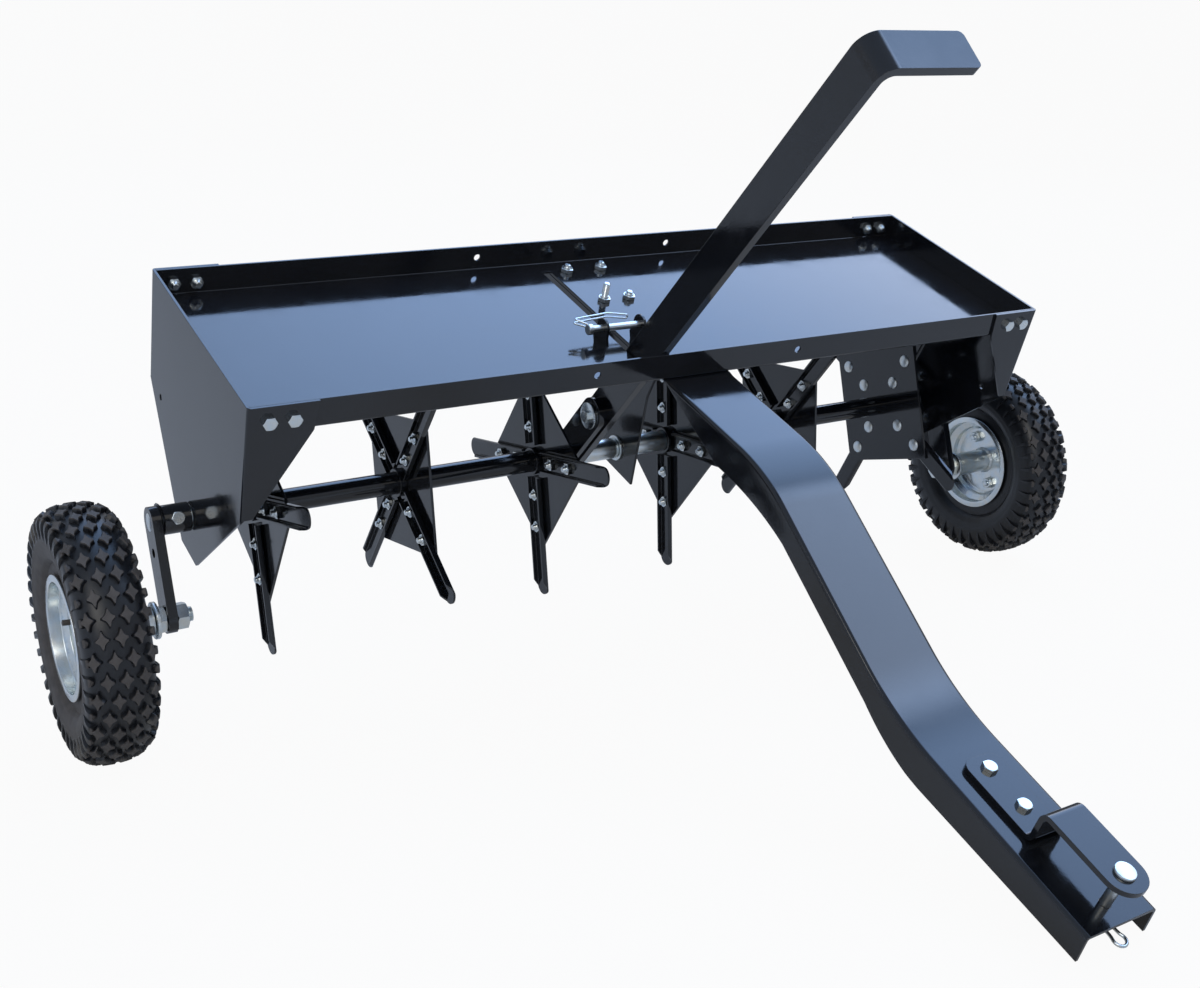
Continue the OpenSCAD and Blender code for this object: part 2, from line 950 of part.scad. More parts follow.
seat_r = seat_d / 2;
lip_in = rim_w / 2 - rim_sheet;
mid_r = (tyre_d / 2 + seat_r + 7) / 2;
half_h = tyre_d / 2 - mid_r;
function rounded(t, h, w) = [
  mid_r + h * sign(cos(t)) * pow(abs(cos(t)), 0.77),
  w * sign(sin(t)) * pow(abs(sin(t)), 0.77)];
tyre_n = 14;
tyre_t = 140;

carcass_w = tyre_w / 2 - 1.4;

// Tread surface: radius and slope at a distance from the middle of the tyre
function tread_t(x) = asin(pow(abs(x) / carcass_w, 1 / 0.77)) * sign(x);
function tread_r(x) = rounded(tread_t(x), half_h, carcass_w)[0];
function tread_slope(x) = atan2(tread_r(x - 1) - tread_r(x + 1), 2);

module at_tread(x, a) {
  rotate([a, 0, 0])
    translate([x, 0, tread_r(x)])
      rotate([0, tread_slope(x), 0])
        children();
}

// Diamond lugs in five rows, each row turned half a pitch from the next
module tread_lugs() {
  for (row = [-2:2])
    for (i = [0:lug_n - 1])
      at_tread(row * lug_row, (i + abs(row) % 2 / 2) * 360 / lug_n)
        translate([0, 0, -lug_h - 2])
          linear_extrude(lug_h + 2)
            polygon([[lug_w / 2, 0], [0, lug_l / 2], [-lug_w / 2, 0], [0, -lug_l / 2]]);
}

// Plain bars over each shoulder
module shoulder_bars() {
  for (k = [-1, 1])
    for (i = [0:lug_n - 1])
      rotate([(i + 0.5) * 360 / lug_n, 0, 0])
        translate([k * (tyre_w / 2 - 4.5), -lug_w / 4, tread_r(0) - 31])
          rotate([0, k * 14, 0])
            translate([-4, 0, 0])
              cube([8, lug_w / 2, 22]);
}

module tyre(s) {
  rubber()
    wheel_at(s)
      union() {
        turn_x()
          polygon(concat(
            [for (i = [-tyre_n:tyre_n]) rounded(i * tyre_t / tyre_n, half_h - lug_h, carcass_w)],
            [[seat_r, lip_in - 2], [seat_r, lip_in - 10]],
            [for (i = [tyre_n:-1:-tyre_n]) rounded(i * 125 / tyre_n, half_h - lug_h - 5, carcass_w - 7)],
            [[seat_r, -lip_in + 10], [seat_r, -lip_in + 2]]));
        tread_lugs();
        shoulder_bars();
      }
}

module rim_section() {
  polygon([
    [hub_d / 2, 0], [seat_r - 8, 0], [seat_r - 8, lip_in - 16], [seat_r, lip_in - 11],
    [seat_r, lip_in], [seat_r + 5.5, lip_in], [seat_r + 5.5, lip_in + rim_sheet],
    [seat_r - rim_sheet, lip_in + rim_sheet], [seat_r - rim_sheet, lip_in - 10],
    [seat_r - 8 - rim_sheet, lip_in - 15], [seat_r - 8 - rim_sheet, 5],
    [seat_r - 14, rim_sheet], [hub_d / 2, rim_sheet]]);
}

module rim_bolt_places() {
  for (i = [0:rim_bolts - 1])
    rotate([45 + i * 360 / rim_bolts, 0, 0])
      translate([0, 0, rim_bolt_r])
        rotate([0, -90, 0])
          children();
}

module rim_half(s, inner) {
  zinc()
    wheel_at(s)
      difference() {
        mirror([inner, 0, 0])
          turn_x()
            rim_section();
        rim_bolt_places()
          hole_z(bolt_d, -10, 10);
      }
}

module hub(s) {
  zinc()
    wheel_at(s)
      difference() {
        rod_x(-hub_in, hub_out, hub_d);
        rod_x(-hub_in - 1, hub_out + 1, stub_d + 4);
        rod_x(-hub_in - 1, -hub_in + bearing_w, bearing_d);
        rod_x(hub_out - bearing_w, hub_out + 1, bearing_d);
      }
}

module bearings(s) {
  zinc()
    wheel_at(s)
      for (x = [-hub_in, hub_out - bearing_w])
        sleeve_x(x, x + bearing_w, bearing_d, stub_d + 2 * run_c);
}

module rim_bolt_set(s) {
  zinc()
    wheel_at(s)
      rim_bolt_places()
        translate([0, 0, -rim_sheet])
          hex_bolt(bolt_d, 2 * rim_sheet + 0.8 * bolt_d + 2.5);
}

module rim_nut_set(s) {
  zinc()
    wheel_at(s)
      rim_bolt_places()
        translate([0, 0, rim_sheet])
          hex_nut(bolt_d, 0.8 * bolt_d);
}

module tyre_left() {
  tyre(-1);
}

module rim_outer_left() {
  rim_half(-1, 0);
}

module rim_inner_left() {
  rim_half(-1, 1);
}

module hub_left() {
  hub(-1);
}

module bearings_left() {
  bearings(-1);
}

module rim_bolts_left() {
  rim_bolt_set(-1);
}

module rim_nuts_left() {
  rim_nut_set(-1);
}

module tyre_right() {
  tyre(1);
}

module rim_outer_right() {
  rim_half(1, 0);
}

module rim_inner_right() {
  rim_half(1, 1);
}

module hub_right() {
  hub(1);
}

module bearings_right() {
  bearings(1);
}

module rim_bolts_right() {
  rim_bolt_set(1);
}

module rim_nuts_right() {
  rim_nut_set(1);
}

// Gangs: each spider is a square plate with four troughs bolted to it
module spider_places(list) {
  for (s = list)
    translate([s[0], 0, 0])
      mirror([s[2] < 0 ? 1 : 0, 0, 0])
        rotate([s[1], 0, 0])
          children();
}

module arms4() {
  for (k = [0:3])
    rotate([90 * k, 0, 0])
      children();
}

module tine_bolt_places() {
  arms4()
    for (r = [inner_bolt_r, outer_bolt_r])
      translate([square_t, 0, r])
        rotate([0, -90, 0])
          children();
}

module gang_tube(x0, x1) {
  paint()
    sleeve_x(x0, x1, gang_d, gang_bore);
}

module tine_plates(list) {
  paint()
    spider_places(list)
      difference() {
        rotate([45, 0, 0])
          translate([0, -square_half, -square_half])
            cube([square_t, 2 * square_half, 2 * square_half]);
        rod_x(-1, square_t + 1, gang_d);
        tine_bolt_places()
          hole_z(tine_bolt_d, -1, square_t + 1);
      }
}

module collars(list) {
  paint()
    spider_places(list)
      sleeve_x(-8, 0, 32, gang_d);
}

module tine() {
  difference() {
    slab_x(-tine_h, 0)
      union() {
        translate([-tine_w / 2, root_r])
          square([tine_w, tine_tip - root_r - tine_w / 2]);
        translate([0, tine_tip - tine_w / 2])
          circle(d = tine_w);
      }
    translate([-tine_h - 1, -tine_w / 2 + tine_sheet, root_r - 1])
      cube([tine_h - tine_sheet + 1, tine_w - 2 * tine_sheet, tine_tip]);
    translate([0, tine_w / 2 + 1, 0])
      rotate([90, 0, 0])
        linear_extrude(tine_w + 2)
          polygon([
            [-tine_h - 1, tine_tip - 19], [-tine_sheet, tine_tip - 8],
            [-tine_sheet, tine_tip + 1], [-tine_h - 1, tine_tip + 1]]);
  }
}

module tines(list) {
  paint()
    spider_places(list)
      difference() {
        arms4()
          tine();
        tine_bolt_places()
          hole_z(tine_bolt_d, -1, square_t + tine_sheet + 1);
        rod_x(-9, 1, 32.6);
      }
}

module tine_bolts(list) {
  zinc()
    spider_places(list)
      tine_bolt_places() {
        translate([0, 0, -3.4])
          cylinder(d1 = tine_bolt_d, d2 = 2.2 * tine_bolt_d, h = 3.4);
        cylinder(d = tine_bolt_d, h = square_t + tine_sheet + 0.8 * tine_bolt_d + 3.5);
      }
}

module tine_nuts(list) {
  zinc()
    spider_places(list)
      tine_bolt_places()
        translate([0, 0, square_t + tine_sheet])
          hex_nut(tine_bolt_d, 0.8 * tine_bolt_d);
}

module gang_bushes(x0, x1) {
  zinc() {
    sleeve_x(x0, x0 + 20, gang_bore, axle_d + 2 * run_c);
    sleeve_x(x1 - 20, x1, gang_bore, axle_d + 2 * run_c);
  }
}

module gang_tube_left() {
  gang_tube(-gang_end, gang_in_l);
}

module tine_plates_left() {
  tine_plates(spiders_l);
}

module collars_left() {
  collars(spiders_l);
}

module tines_left() {
  tines(spiders_l);
}

module tine_bolts_left() {
  tine_bolts(spiders_l);
}

module tine_nuts_left() {
  tine_nuts(spiders_l);
}

module gang_bushes_left() {
  gang_bushes(-gang_end, gang_in_l);
}

module gang_tube_right() {
  gang_tube(gang_in_r, gang_end);
}

module tine_plates_right() {
  tine_plates(spiders_r);
}

module collars_right() {
  collars(spiders_r);
}

module tines_right() {
  tines(spiders_r);
}

module tine_bolts_right() {
  tine_bolts(spiders_r);
}

module tine_nuts_right() {
  tine_nuts(spiders_r);
}

module gang_bushes_right() {
  gang_bushes(gang_in_r, gang_end);
}

tray();
end_plate_left();
end_plate_right();
corner_bolts();
corner_nuts();
tongue();
tongue_bolts();
tongue_nuts();
hanger_plate();
axle_bushes();
lock_ears();
hitch_clevis();
clevis_bolts();
clevis_nuts();
lift_axle();
lower_arm();
lever();
lever_bolt();
lever_nut();
washers();
sleeves();
wheel_arm_left();
wheel_arm_right();
arm_bolts();
arm_nuts();
wheel_axles();
wheel_axle_nuts();
tyre_left();
rim_outer_left();
rim_inner_left();
hub_left();
bearings_left();
rim_bolts_left();
rim_nuts_left();
tyre_right();
rim_outer_right();
rim_inner_right();
hub_right();
bearings_right();
rim_bolts_right();
rim_nuts_right();
gang_tube_left();
tine_plates_left();
collars_left();
tines_left();
tine_bolts_left();
tine_nuts_left();
gang_bushes_left();
gang_tube_right();
tine_plates_right();
collars_right();
tines_right();
tine_bolts_right();
tine_nuts_right();
gang_bushes_right();
lock_pin();
lock_wire();
hitch_pin();
hitch_clip();
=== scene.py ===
"""Tow behind aerator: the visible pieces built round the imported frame.

Every piece is drawn in the machine's own millimetres, x across, y to the rear
and z up from the lift axle, and is then stood in the parked stance.
"""

import json
import math

import bmesh
import bpy
from mathutils import Matrix, Vector


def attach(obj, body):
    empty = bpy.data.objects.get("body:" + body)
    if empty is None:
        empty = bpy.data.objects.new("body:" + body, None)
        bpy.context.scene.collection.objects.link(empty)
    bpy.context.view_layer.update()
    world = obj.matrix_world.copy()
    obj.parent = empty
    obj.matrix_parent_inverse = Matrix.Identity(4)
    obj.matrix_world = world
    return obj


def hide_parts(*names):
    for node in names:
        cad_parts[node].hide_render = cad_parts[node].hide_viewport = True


bl_info = {
    "name": "Tow behind aerator",
    "version": (1, 0, 0),
    "blender": (4, 5, 0),
    "location": "View3D > Sidebar > Aerator",
    "description": "Builds the painted, plated and rubber pieces of a tow behind aerator",
    "category": "Object",
}

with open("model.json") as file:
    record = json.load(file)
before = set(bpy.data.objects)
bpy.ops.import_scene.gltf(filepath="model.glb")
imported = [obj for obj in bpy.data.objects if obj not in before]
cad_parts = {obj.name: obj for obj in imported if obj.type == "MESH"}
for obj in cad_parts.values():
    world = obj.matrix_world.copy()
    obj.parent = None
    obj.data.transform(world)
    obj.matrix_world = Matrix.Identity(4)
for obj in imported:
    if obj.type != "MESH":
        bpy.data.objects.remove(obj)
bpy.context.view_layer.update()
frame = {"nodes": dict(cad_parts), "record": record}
JOINTS = {joint["name"]: joint for joint in frame["record"]["behaviour"]["joints"]}
AXLE = JOINTS["lift"]["pos_m"]
HITCH_AXIS = JOINTS["hitch_pin_slide"]["axis"]
BOTH = (-1, 1)
SIDES = {"left": -1, "right": 1}

# The tongue leaves the tray's floor at its bend, drops to its kink and ends at the hitch
FLOOR = 182.5
BEND_Y = 318.4
KINK_Y = 571
END_Y = 827
SLOPE_A = math.radians(23.65)
SLOPE_B = math.radians(4.1)
KINK_Z = FLOOR - (KINK_Y - BEND_Y) * math.tan(SLOPE_A)
END_Z = KINK_Z - (END_Y - KINK_Y) * math.tan(SLOPE_B)
PIN_Y = 21
HITCH_BOLTS = (171, 125)
HITCH_THICK = 5.5
TONGUE_SHEET = 3
WALL_START = 140
WALL_FULL = 251

# The parked machine leans nose-down: the hitch pin's lean less the slope of the tongue's end
TILT = math.atan2(-HITCH_AXIS[1], HITCH_AXIS[2]) - SLOPE_B
STAND = Matrix.Translation(AXLE) @ Matrix.Rotation(TILT, 4, "X")
PARKED = STAND @ Matrix.Scale(0.001, 4)

# The lift: the lever's lean, and the wheel arms' angle from upright, both in degrees
LEVER_LEAN = 28.1
ARM_FACE_X = 541
ARM_THICK = 10
ARM_LENGTH = 100
ARM_ANGLE = 144
WHEEL_X = 624.6
WHEEL_Y = -ARM_LENGTH * math.sin(math.radians(ARM_ANGLE))
WHEEL_Z = ARM_LENGTH * math.cos(math.radians(ARM_ANGLE))
TYRE_R = 132.5
BEAD_R = 66
LOCK_Y = -50
LOCK_Z = 200.5

# Tray and end plates: the sheet's faces, the lever's slot, the corner bolts and the strap holes
TRAY_X = 505
TRAY_Y = 140.5
TRAY_TOP = 213.5
TRAY_SHEET = 2.5
PLATE_X = 508
FLANGE_Y = 143.5
SLOT_X = (-55.5, -43)
SLOT_Y = (-127, 116)
CORNER_X = 487
CORNER_PITCH = 24
CORNER_Z = 197.5
STRAP_X = 132.5
STRAP_Z = 199.3
STRAP_R = 4

# The two bolts of a trough, out from the gang's tube
TINE_BOLTS = (41, 79.4)

# Each spider: its place across, its turn in degrees, and the way that its troughs face
SPIDERS = {
    "left": ((-437, 61, 1), (-268, 20, 1), (-94, 64.5, 1)),
    "right": ((93, 68.5, 1), (268, 23.5, 1), (450, 12, -1)),
}


# Shapes


class Shape:
    """Vertices and faces gathered before they become one mesh."""

    def __init__(self):
        self.verts = []
        self.faces = []

    def add(self, verts, faces, turn=None):
        """Take in one more closed form, moved by the matrix turn."""
        base = len(self.verts)
        turn = turn or Matrix.Identity(4)
        self.verts += [turn @ Vector(v) for v in verts]
        self.faces += [tuple(i + base for i in face) for face in faces]
        return self

    def make(self, name):
        """One object of everything taken in, its doubles merged and its faces outward."""
        mesh = bpy.data.meshes.new(name)
        mesh.from_pydata([tuple(v) for v in self.verts], [], self.faces)
        work = bmesh.new()
        work.from_mesh(mesh)
        bmesh.ops.remove_doubles(work, verts=work.verts, dist=0.0005)
        bmesh.ops.recalc_face_normals(work, faces=work.faces)
        work.to_mesh(mesh)
        work.free()
        return link(name, mesh)


def link(name, data):
    """A new object in the scene that holds this data."""
    made = bpy.data.objects.new(name, data)
    bpy.context.scene.collection.objects.link(made)
    return made


def drop(piece):
    """Remove a helper object and its mesh."""
    spent = piece.data
    bpy.data.objects.remove(piece)
    bpy.data.meshes.remove(spent)


def turned(axis, degrees):
    """A turn about one axis."""
    return Matrix.Rotation(math.radians(degrees), 4, axis)


def at(x, y, z, *turns):
    """A matrix at a point, turned by (axis, degrees) pairs in order."""
    m = Matrix.Translation((x, y, z))
    for axis, degrees in turns:
        m = m @ turned(axis, degrees)
    return m


# Stands a form drawn along x on its end, along z
UPRIGHT = turned("Y", -90)


def circle(steps):
    """Cosine and sine at equal steps of a full turn."""
    angles = [2 * math.pi * i / steps for i in range(steps)]
    return [(math.cos(a), math.sin(a)) for a in angles]


def arc(cx, cy, radius, start, end, steps):
    """Points of an arc between two angles in degrees."""
    angles = [math.radians(start + (end - start) * i / steps) for i in range(steps + 1)]
    return [(cx + radius * math.cos(a), cy + radius * math.sin(a)) for a in angles]


def oblong(a0, a1, b0, b1):
    """The corners of a rectangle."""
    return [(a0, b0), (a1, b0), (a1, b1), (a0, b1)]


def sweep(rings, closed=False):
    """Skin a row of equal rings; the ends are capped unless the row closes on itself."""
    count = len(rings[0])
    verts = [p for ring in rings for p in ring]
    faces = []
    last = len(rings) if closed else len(rings) - 1
    for i in range(last):
        a = i * count
        b = ((i + 1) % len(rings)) * count
        for k in range(count):
            n = (k + 1) % count
            faces.append((a + k, a + n, b + n, b + k))
    if not closed:
        faces.append(tuple(range(count - 1, -1, -1)))
        faces.append(tuple(range(len(verts) - count, len(verts))))
    return verts, faces


def prism(outline, low, high, axis="x"):
    """A flat outline pushed along one axis."""
    i = "xyz".index(axis)
    return sweep([[p[:i] + (t,) + p[i:] for p in outline] for t in (low, high)])


def lathe(profile, steps=96):
    """Turn a closed outline of (x, radius) points about the x axis."""
    return sweep([[(x, r * s, r * c) for x, r in profile] for c, s in circle(steps)], closed=True)


def rod(radius, low, high, steps=48, ease=0.5):
    """A solid round bar along x with eased ends."""
    ease = min(ease, radius * 0.4, abs(high - low) * 0.3)
    rims = (
        (low, radius - ease), (low + ease, radius), (high - ease, radius), (high, radius - ease),
    )
    return sweep([[(x, r * s, r * c) for c, s in circle(steps)] for x, r in rims])


def flat_bar(path, width, thick, start_round, end_round, place):
    """A flat bar along a bent path, its two ends rounded in plan.

    path holds (a, b) points; place(a, b, across) puts a point in space.
    """
    points = [Vector(p) for p in path]
    length = [0.0]
    for p, q in zip(points, points[1:]):
        length.append(length[-1] + (q - p).length)
    total = length[-1]
    stops = set(length)
    for i in range(9):
        fall = 1 - math.cos(math.pi / 2 * i / 8)
        stops.add(start_round * fall)
        stops.add(total - end_round * fall)
    half = width / 2
    rings = []
    for s in sorted(stops):
        k = max(i for i in range(len(length) - 1) if length[i] <= s + 1e-9)
        along = (points[k + 1] - points[k]).normalized()
        here = points[k] + along * (s - length[k])
        if abs(s - length[k]) < 1e-6 and 0 < k:
            along = (along + (points[k] - points[k - 1]).normalized()).normalized()
        out = Vector((-along[1], along[0])) * thick / 2
        w = half
        for reach, rnd in ((s, start_round), (total - s, end_round)):
            if reach < rnd:
                w = min(w, half - rnd + math.sqrt(max(rnd ** 2 - (rnd - reach) ** 2, 0.04)))
        rings.append([
            place(*(here + out), -w), place(*(here + out), w),
            place(*(here - out), w), place(*(here - out), -w),
        ])
    return sweep(rings)


def round_wire(points, radius, steps=12, bend=4.0, arc_steps=5):
    """A round wire through points with each corner drawn as a small arc."""
    pts = [Vector(p) for p in points]
    path = [pts[0]]
    for before, corner, after in zip(pts, pts[1:], pts[2:]):
        a = before - corner
        b = after - corner
        reach = min(bend, a.length * 0.45, b.length * 0.45)
        a = corner + a.normalized() * reach
        b = corner + b.normalized() * reach
        for i in range(arc_steps + 1):
            t = i / arc_steps
            path.append(a * (1 - t) ** 2 + corner * 2 * t * (1 - t) + b * t ** 2)
    path.append(pts[-1])
    rings = []
    side = path[1] - path[0]
    side = side.orthogonal().normalized()
    for i, here in enumerate(path):
        along = (path[min(i + 1, len(path) - 1)] - path[max(i - 1, 0)]).normalized()
        side = (side - along * side.dot(along)).normalized()
        up = along.cross(side)
        rings.append([here + radius * (side * c + up * s) for c, s in circle(steps)])
    return sweep(rings)


def hexagon(flats, low, high, both_ends=False):
    """A hexagon along z; 30 degree chamfers turn its corners off on top, or at both ends."""
    steps = 24
    flat_r = 0.475 * flats
    # The tangent of 30 degrees
    chamfer = 0.577

    def ring(z, inside=False, fall=0.0):
        points = []
        for i, (c, s) in enumerate(circle(steps)):
            corner_r = flats / 2 / math.cos(math.radians((i * 360 / steps) % 60 - 30))
            r = flat_r if inside else corner_r
            points.append((r * c, r * s, z - fall * (corner_r - flat_r) * chamfer))
        return points

    rings = [ring(low, True), ring(low, fall=-1.0)] if both_ends else [ring(low)]
    rings += [ring(high, fall=1.0), ring(high, True)]
    return sweep(rings)


def threaded(diameter, low, high, pitch=1.25, steps=20):
    """A bolt's end along z with ridges at thread pitch and a chamfered tip."""
    r = diameter / 2
    rims = [(low, r * 0.97)]
    z = low + pitch / 2
    while z < high - pitch:
        rims += [(z, r * 0.88), (z + pitch / 2, r)]
        z += pitch
    rims += [(high - pitch * 0.5, r * 0.93), (high, r * 0.72)]
    return sweep([[(rim * c, rim * s, z) for c, s in circle(steps)] for z, rim in rims])


def bolt_shape(diameter, length, head=0.65):
    """A hex bolt along z, its head below the origin; head is a share of the diameter."""
    shape = Shape().add(*hexagon(1.6 * diameter, 0, head * diameter), turned("X", 180))
    return shape.add(*threaded(diameter, -0.5, length))


def nut_shape(diameter, height, collar=0.0, flats=1.6):
    """A hex nut along z, with the round collar of a lock nut where it has one."""
    shape = Shape()
    body = height - collar
    shape.add(*hexagon(flats * diameter, 0, body, True))
    if collar:
        shape.add(*lathe([
            (body - 0.2, diameter * 0.5), (body - 0.2, diameter * 0.69),
            (height - 0.5, diameter * 0.66), (height, diameter * 0.6), (height, diameter * 0.5),
        ], 32), UPRIGHT)
    return shape


def weld_ring(x, radius, leg, side, steps=120):
    """A rippled fillet run round a tube at x, leaning to one side."""
    rings = []
    for i, (c, s) in enumerate(circle(steps)):
        a = 2 * math.pi * i / steps
        swell = 1 + 0.10 * math.sin(22 * a) + 0.05 * math.sin(5 * a)
        section = (
            (0.2, -0.4), (leg * swell, -0.1),
            (leg * 0.62 * swell, leg * 0.5), (0.2, leg * 0.95 * swell),
        )
        rings.append([
            (x + side * dx, (radius + dr) * s, (radius + dr) * c) for dx, dr in section
        ])
    return sweep(rings, closed=True)


# Pieces from the frame, cuts and edges


def from_cad(node):
    """A merged copy of a CAD node, brought back to the machine's millimetres."""
    mesh = frame["nodes"][node].data.copy()
    mesh.transform(PARKED.inverted())
    work = bmesh.new()
    work.from_mesh(mesh)
    bmesh.ops.remove_doubles(work, verts=work.verts, dist=0.002)
    bmesh.ops.dissolve_limit(
        work, angle_limit=math.radians(0.6), verts=work.verts, edges=work.edges)
    work.to_mesh(mesh)
    work.free()
    mesh.materials.clear()
    return link("copy_" + node, mesh)


def bake(piece):
    """Turn a piece with modifiers into a plain mesh."""
    bpy.context.view_layer.update()
    graph = bpy.context.evaluated_depsgraph_get()
    mesh = bpy.data.meshes.new_from_object(piece.evaluated_get(graph))
    piece.modifiers.clear()
    old = piece.data
    piece.data = mesh
    if old.users == 0:
        bpy.data.meshes.remove(old)


def cut(piece, shape, operation="DIFFERENCE"):
    """Take a shape out of a piece, or keep only what lies inside it."""
    cutter = shape.make("cutter")
    knife = piece.modifiers.new("cut", "BOOLEAN")
    knife.object = cutter
    knife.operation = operation
    knife.solver = "EXACT"
    bake(piece)
    drop(cutter)


def ease_edges(piece, width, segments=2, angle=32):
    """Round every edge sharper than the angle."""
    soft = piece.modifiers.new("eased edges", "BEVEL")
    soft.width = width
    soft.segments = segments
    soft.limit_method = "ANGLE"
    soft.angle_limit = math.radians(angle)
    soft.use_clamp_overlap = True
    soft.miter_outer = "MITER_ARC"
    bake(piece)


def fold_edges(piece, chosen, width, segments=4):
    """Round only the edges that chosen(a, b) picks: the folds of bent sheet."""
    mesh = piece.data
    weight = mesh.attributes.new("bevel_weight_edge", "FLOAT", "EDGE")
    for edge in mesh.edges:
        a, b = (mesh.vertices[i].co for i in edge.vertices)
        weight.data[edge.index].value = 1.0 if chosen(a, b) else 0.0
    soft = piece.modifiers.new("folds", "BEVEL")
    soft.width = width
    soft.segments = segments
    soft.limit_method = "WEIGHT"
    soft.use_clamp_overlap = False
    bake(piece)


# Seating and repeating


def seat(piece, name, body, look, stands_for=(), sharp=38):
    """Stand a finished piece in the frame and say what it is."""
    slot = LOOKS[look][0]
    piece.name = name
    piece.data.name = name
    piece.data.transform(PARKED)
    piece.data.materials.clear()
    piece.data.materials.append(finish_of(look))
    piece.data.shade_smooth()
    piece.data.set_sharp_from_angle(angle=math.radians(sharp))
    if slot == "black_paint":
        # Flat painted sheet keeps its own direction, so that reflections stay straight in it
        even = piece.modifiers.new("even shading", "WEIGHTED_NORMAL")
        even.keep_sharp = True
        even.weight = 80
        bake(piece)
    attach(piece, body)
    if stands_for:
        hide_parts(*stands_for)


def dress(node, name, body, look, width, segments=2, angle=32, sharp=38):
    """A CAD node with its edges eased and its finish on, in its own place."""
    piece = from_cad(node)
    ease_edges(piece, width, segments, angle)
    seat(piece, name, body, look, (node,), sharp)


def copies_tree():
    """Places one source object on every point, turned by the point's own angles."""
    tree = bpy.data.node_groups.new("Repeated piece", "GeometryNodeTree")
    face = tree.interface
    face.new_socket("Points", in_out="INPUT", socket_type="NodeSocketGeometry")
    face.new_socket("Piece", in_out="INPUT", socket_type="NodeSocketObject")
    face.new_socket("Size", in_out="INPUT", socket_type="NodeSocketFloat").default_value = 1.0
    face.new_socket("Finish", in_out="INPUT", socket_type="NodeSocketMaterial")
    face.new_socket("Geometry", in_out="OUTPUT", socket_type="NodeSocketGeometry")
    given = add(tree, "NodeGroupInput").outputs
    info = add(tree, "GeometryNodeObjectInfo", {
        "Object": given["Piece"],
    }, transform_space="ORIGINAL")
    turn = add(tree, "GeometryNodeInputNamedAttribute", {"Name": "turn"}, data_type="FLOAT_VECTOR")
    placed = add(tree, "GeometryNodeInstanceOnPoints", {
        "Points": given["Points"], "Instance": info.outputs["Geometry"],
        "Rotation": add(tree, "FunctionNodeEulerToRotation", {0: turn}), "Scale": given["Size"],
    })
    real = add(tree, "GeometryNodeRealizeInstances", {0: placed})
    painted = add(tree, "GeometryNodeSetMaterial", {"Geometry": real, "Material": given["Finish"]})
    add(tree, "NodeGroupOutput", {0: painted})
    return tree


def seat_copies(name, source, spots, body, look, stands_for=(), sharp=38):
    """Seat one piece of Geometry Nodes copies, one copy of source at each matrix in spots."""
    tree = bpy.data.node_groups.get("Repeated piece") or copies_tree()
    mesh = bpy.data.meshes.new(name)
    mesh.from_pydata([tuple(m.to_translation()) for m in spots], [], [])
    turn = mesh.attributes.new("turn", "FLOAT_VECTOR", "POINT")
    for i, m in enumerate(spots):
        turn.data[i].vector = tuple(m.to_euler("XYZ"))
    piece = link(name, mesh)
    maker = piece.modifiers.new("copies", "NODES")
    maker.node_group = tree
    given = {"Piece": source, "Finish": finish_of(look), "Size": 1.0}
    for item in tree.interface.items_tree:
        if item.in_out == "INPUT" and item.name in given:
            maker[item.identifier] = given[item.name]
    bake(piece)
    seat(piece, name, body, look, stands_for, sharp)


# Finishes


def linear(code, alpha=1.0):
    """sRGB hex to the linear colour that the shader wants."""
    parts = [int(code[i:i + 2], 16) / 255 for i in (1, 3, 5)]
    parts = [c / 12.92 if c <= 0.04045 else ((c + 0.055) / 1.055) ** 2.4 for c in parts]
    return tuple(parts) + (alpha,)


def opaque(colour):
    """A setting's colour with full alpha."""
    return tuple(colour) + (1.0,)


def add(tree, kind, inputs=None, **settings):
    """Add one node with its settings, and set or link its inputs.

    A node given as an input is linked from its first output.
    """
    node = tree.nodes.new(kind)
    for key, value in settings.items():
        setattr(node, key, value)
    for key, value in (inputs or {}).items():
        if isinstance(value, bpy.types.Node):
            value = value.outputs[0]
        if isinstance(value, bpy.types.NodeSocket):
            tree.links.new(value, node.inputs[key])
        else:
            node.inputs[key].default_value = value
    return node


def per_mm(size):
    """Texture scale for a feature of this many millimetres."""
    return 1000.0 / size


def new_finish(name):
    """An empty material and its tree."""
    finish = bpy.data.materials.new(name)
    finish.use_nodes = True
    finish.node_tree.nodes.clear()
    return finish, finish.node_tree


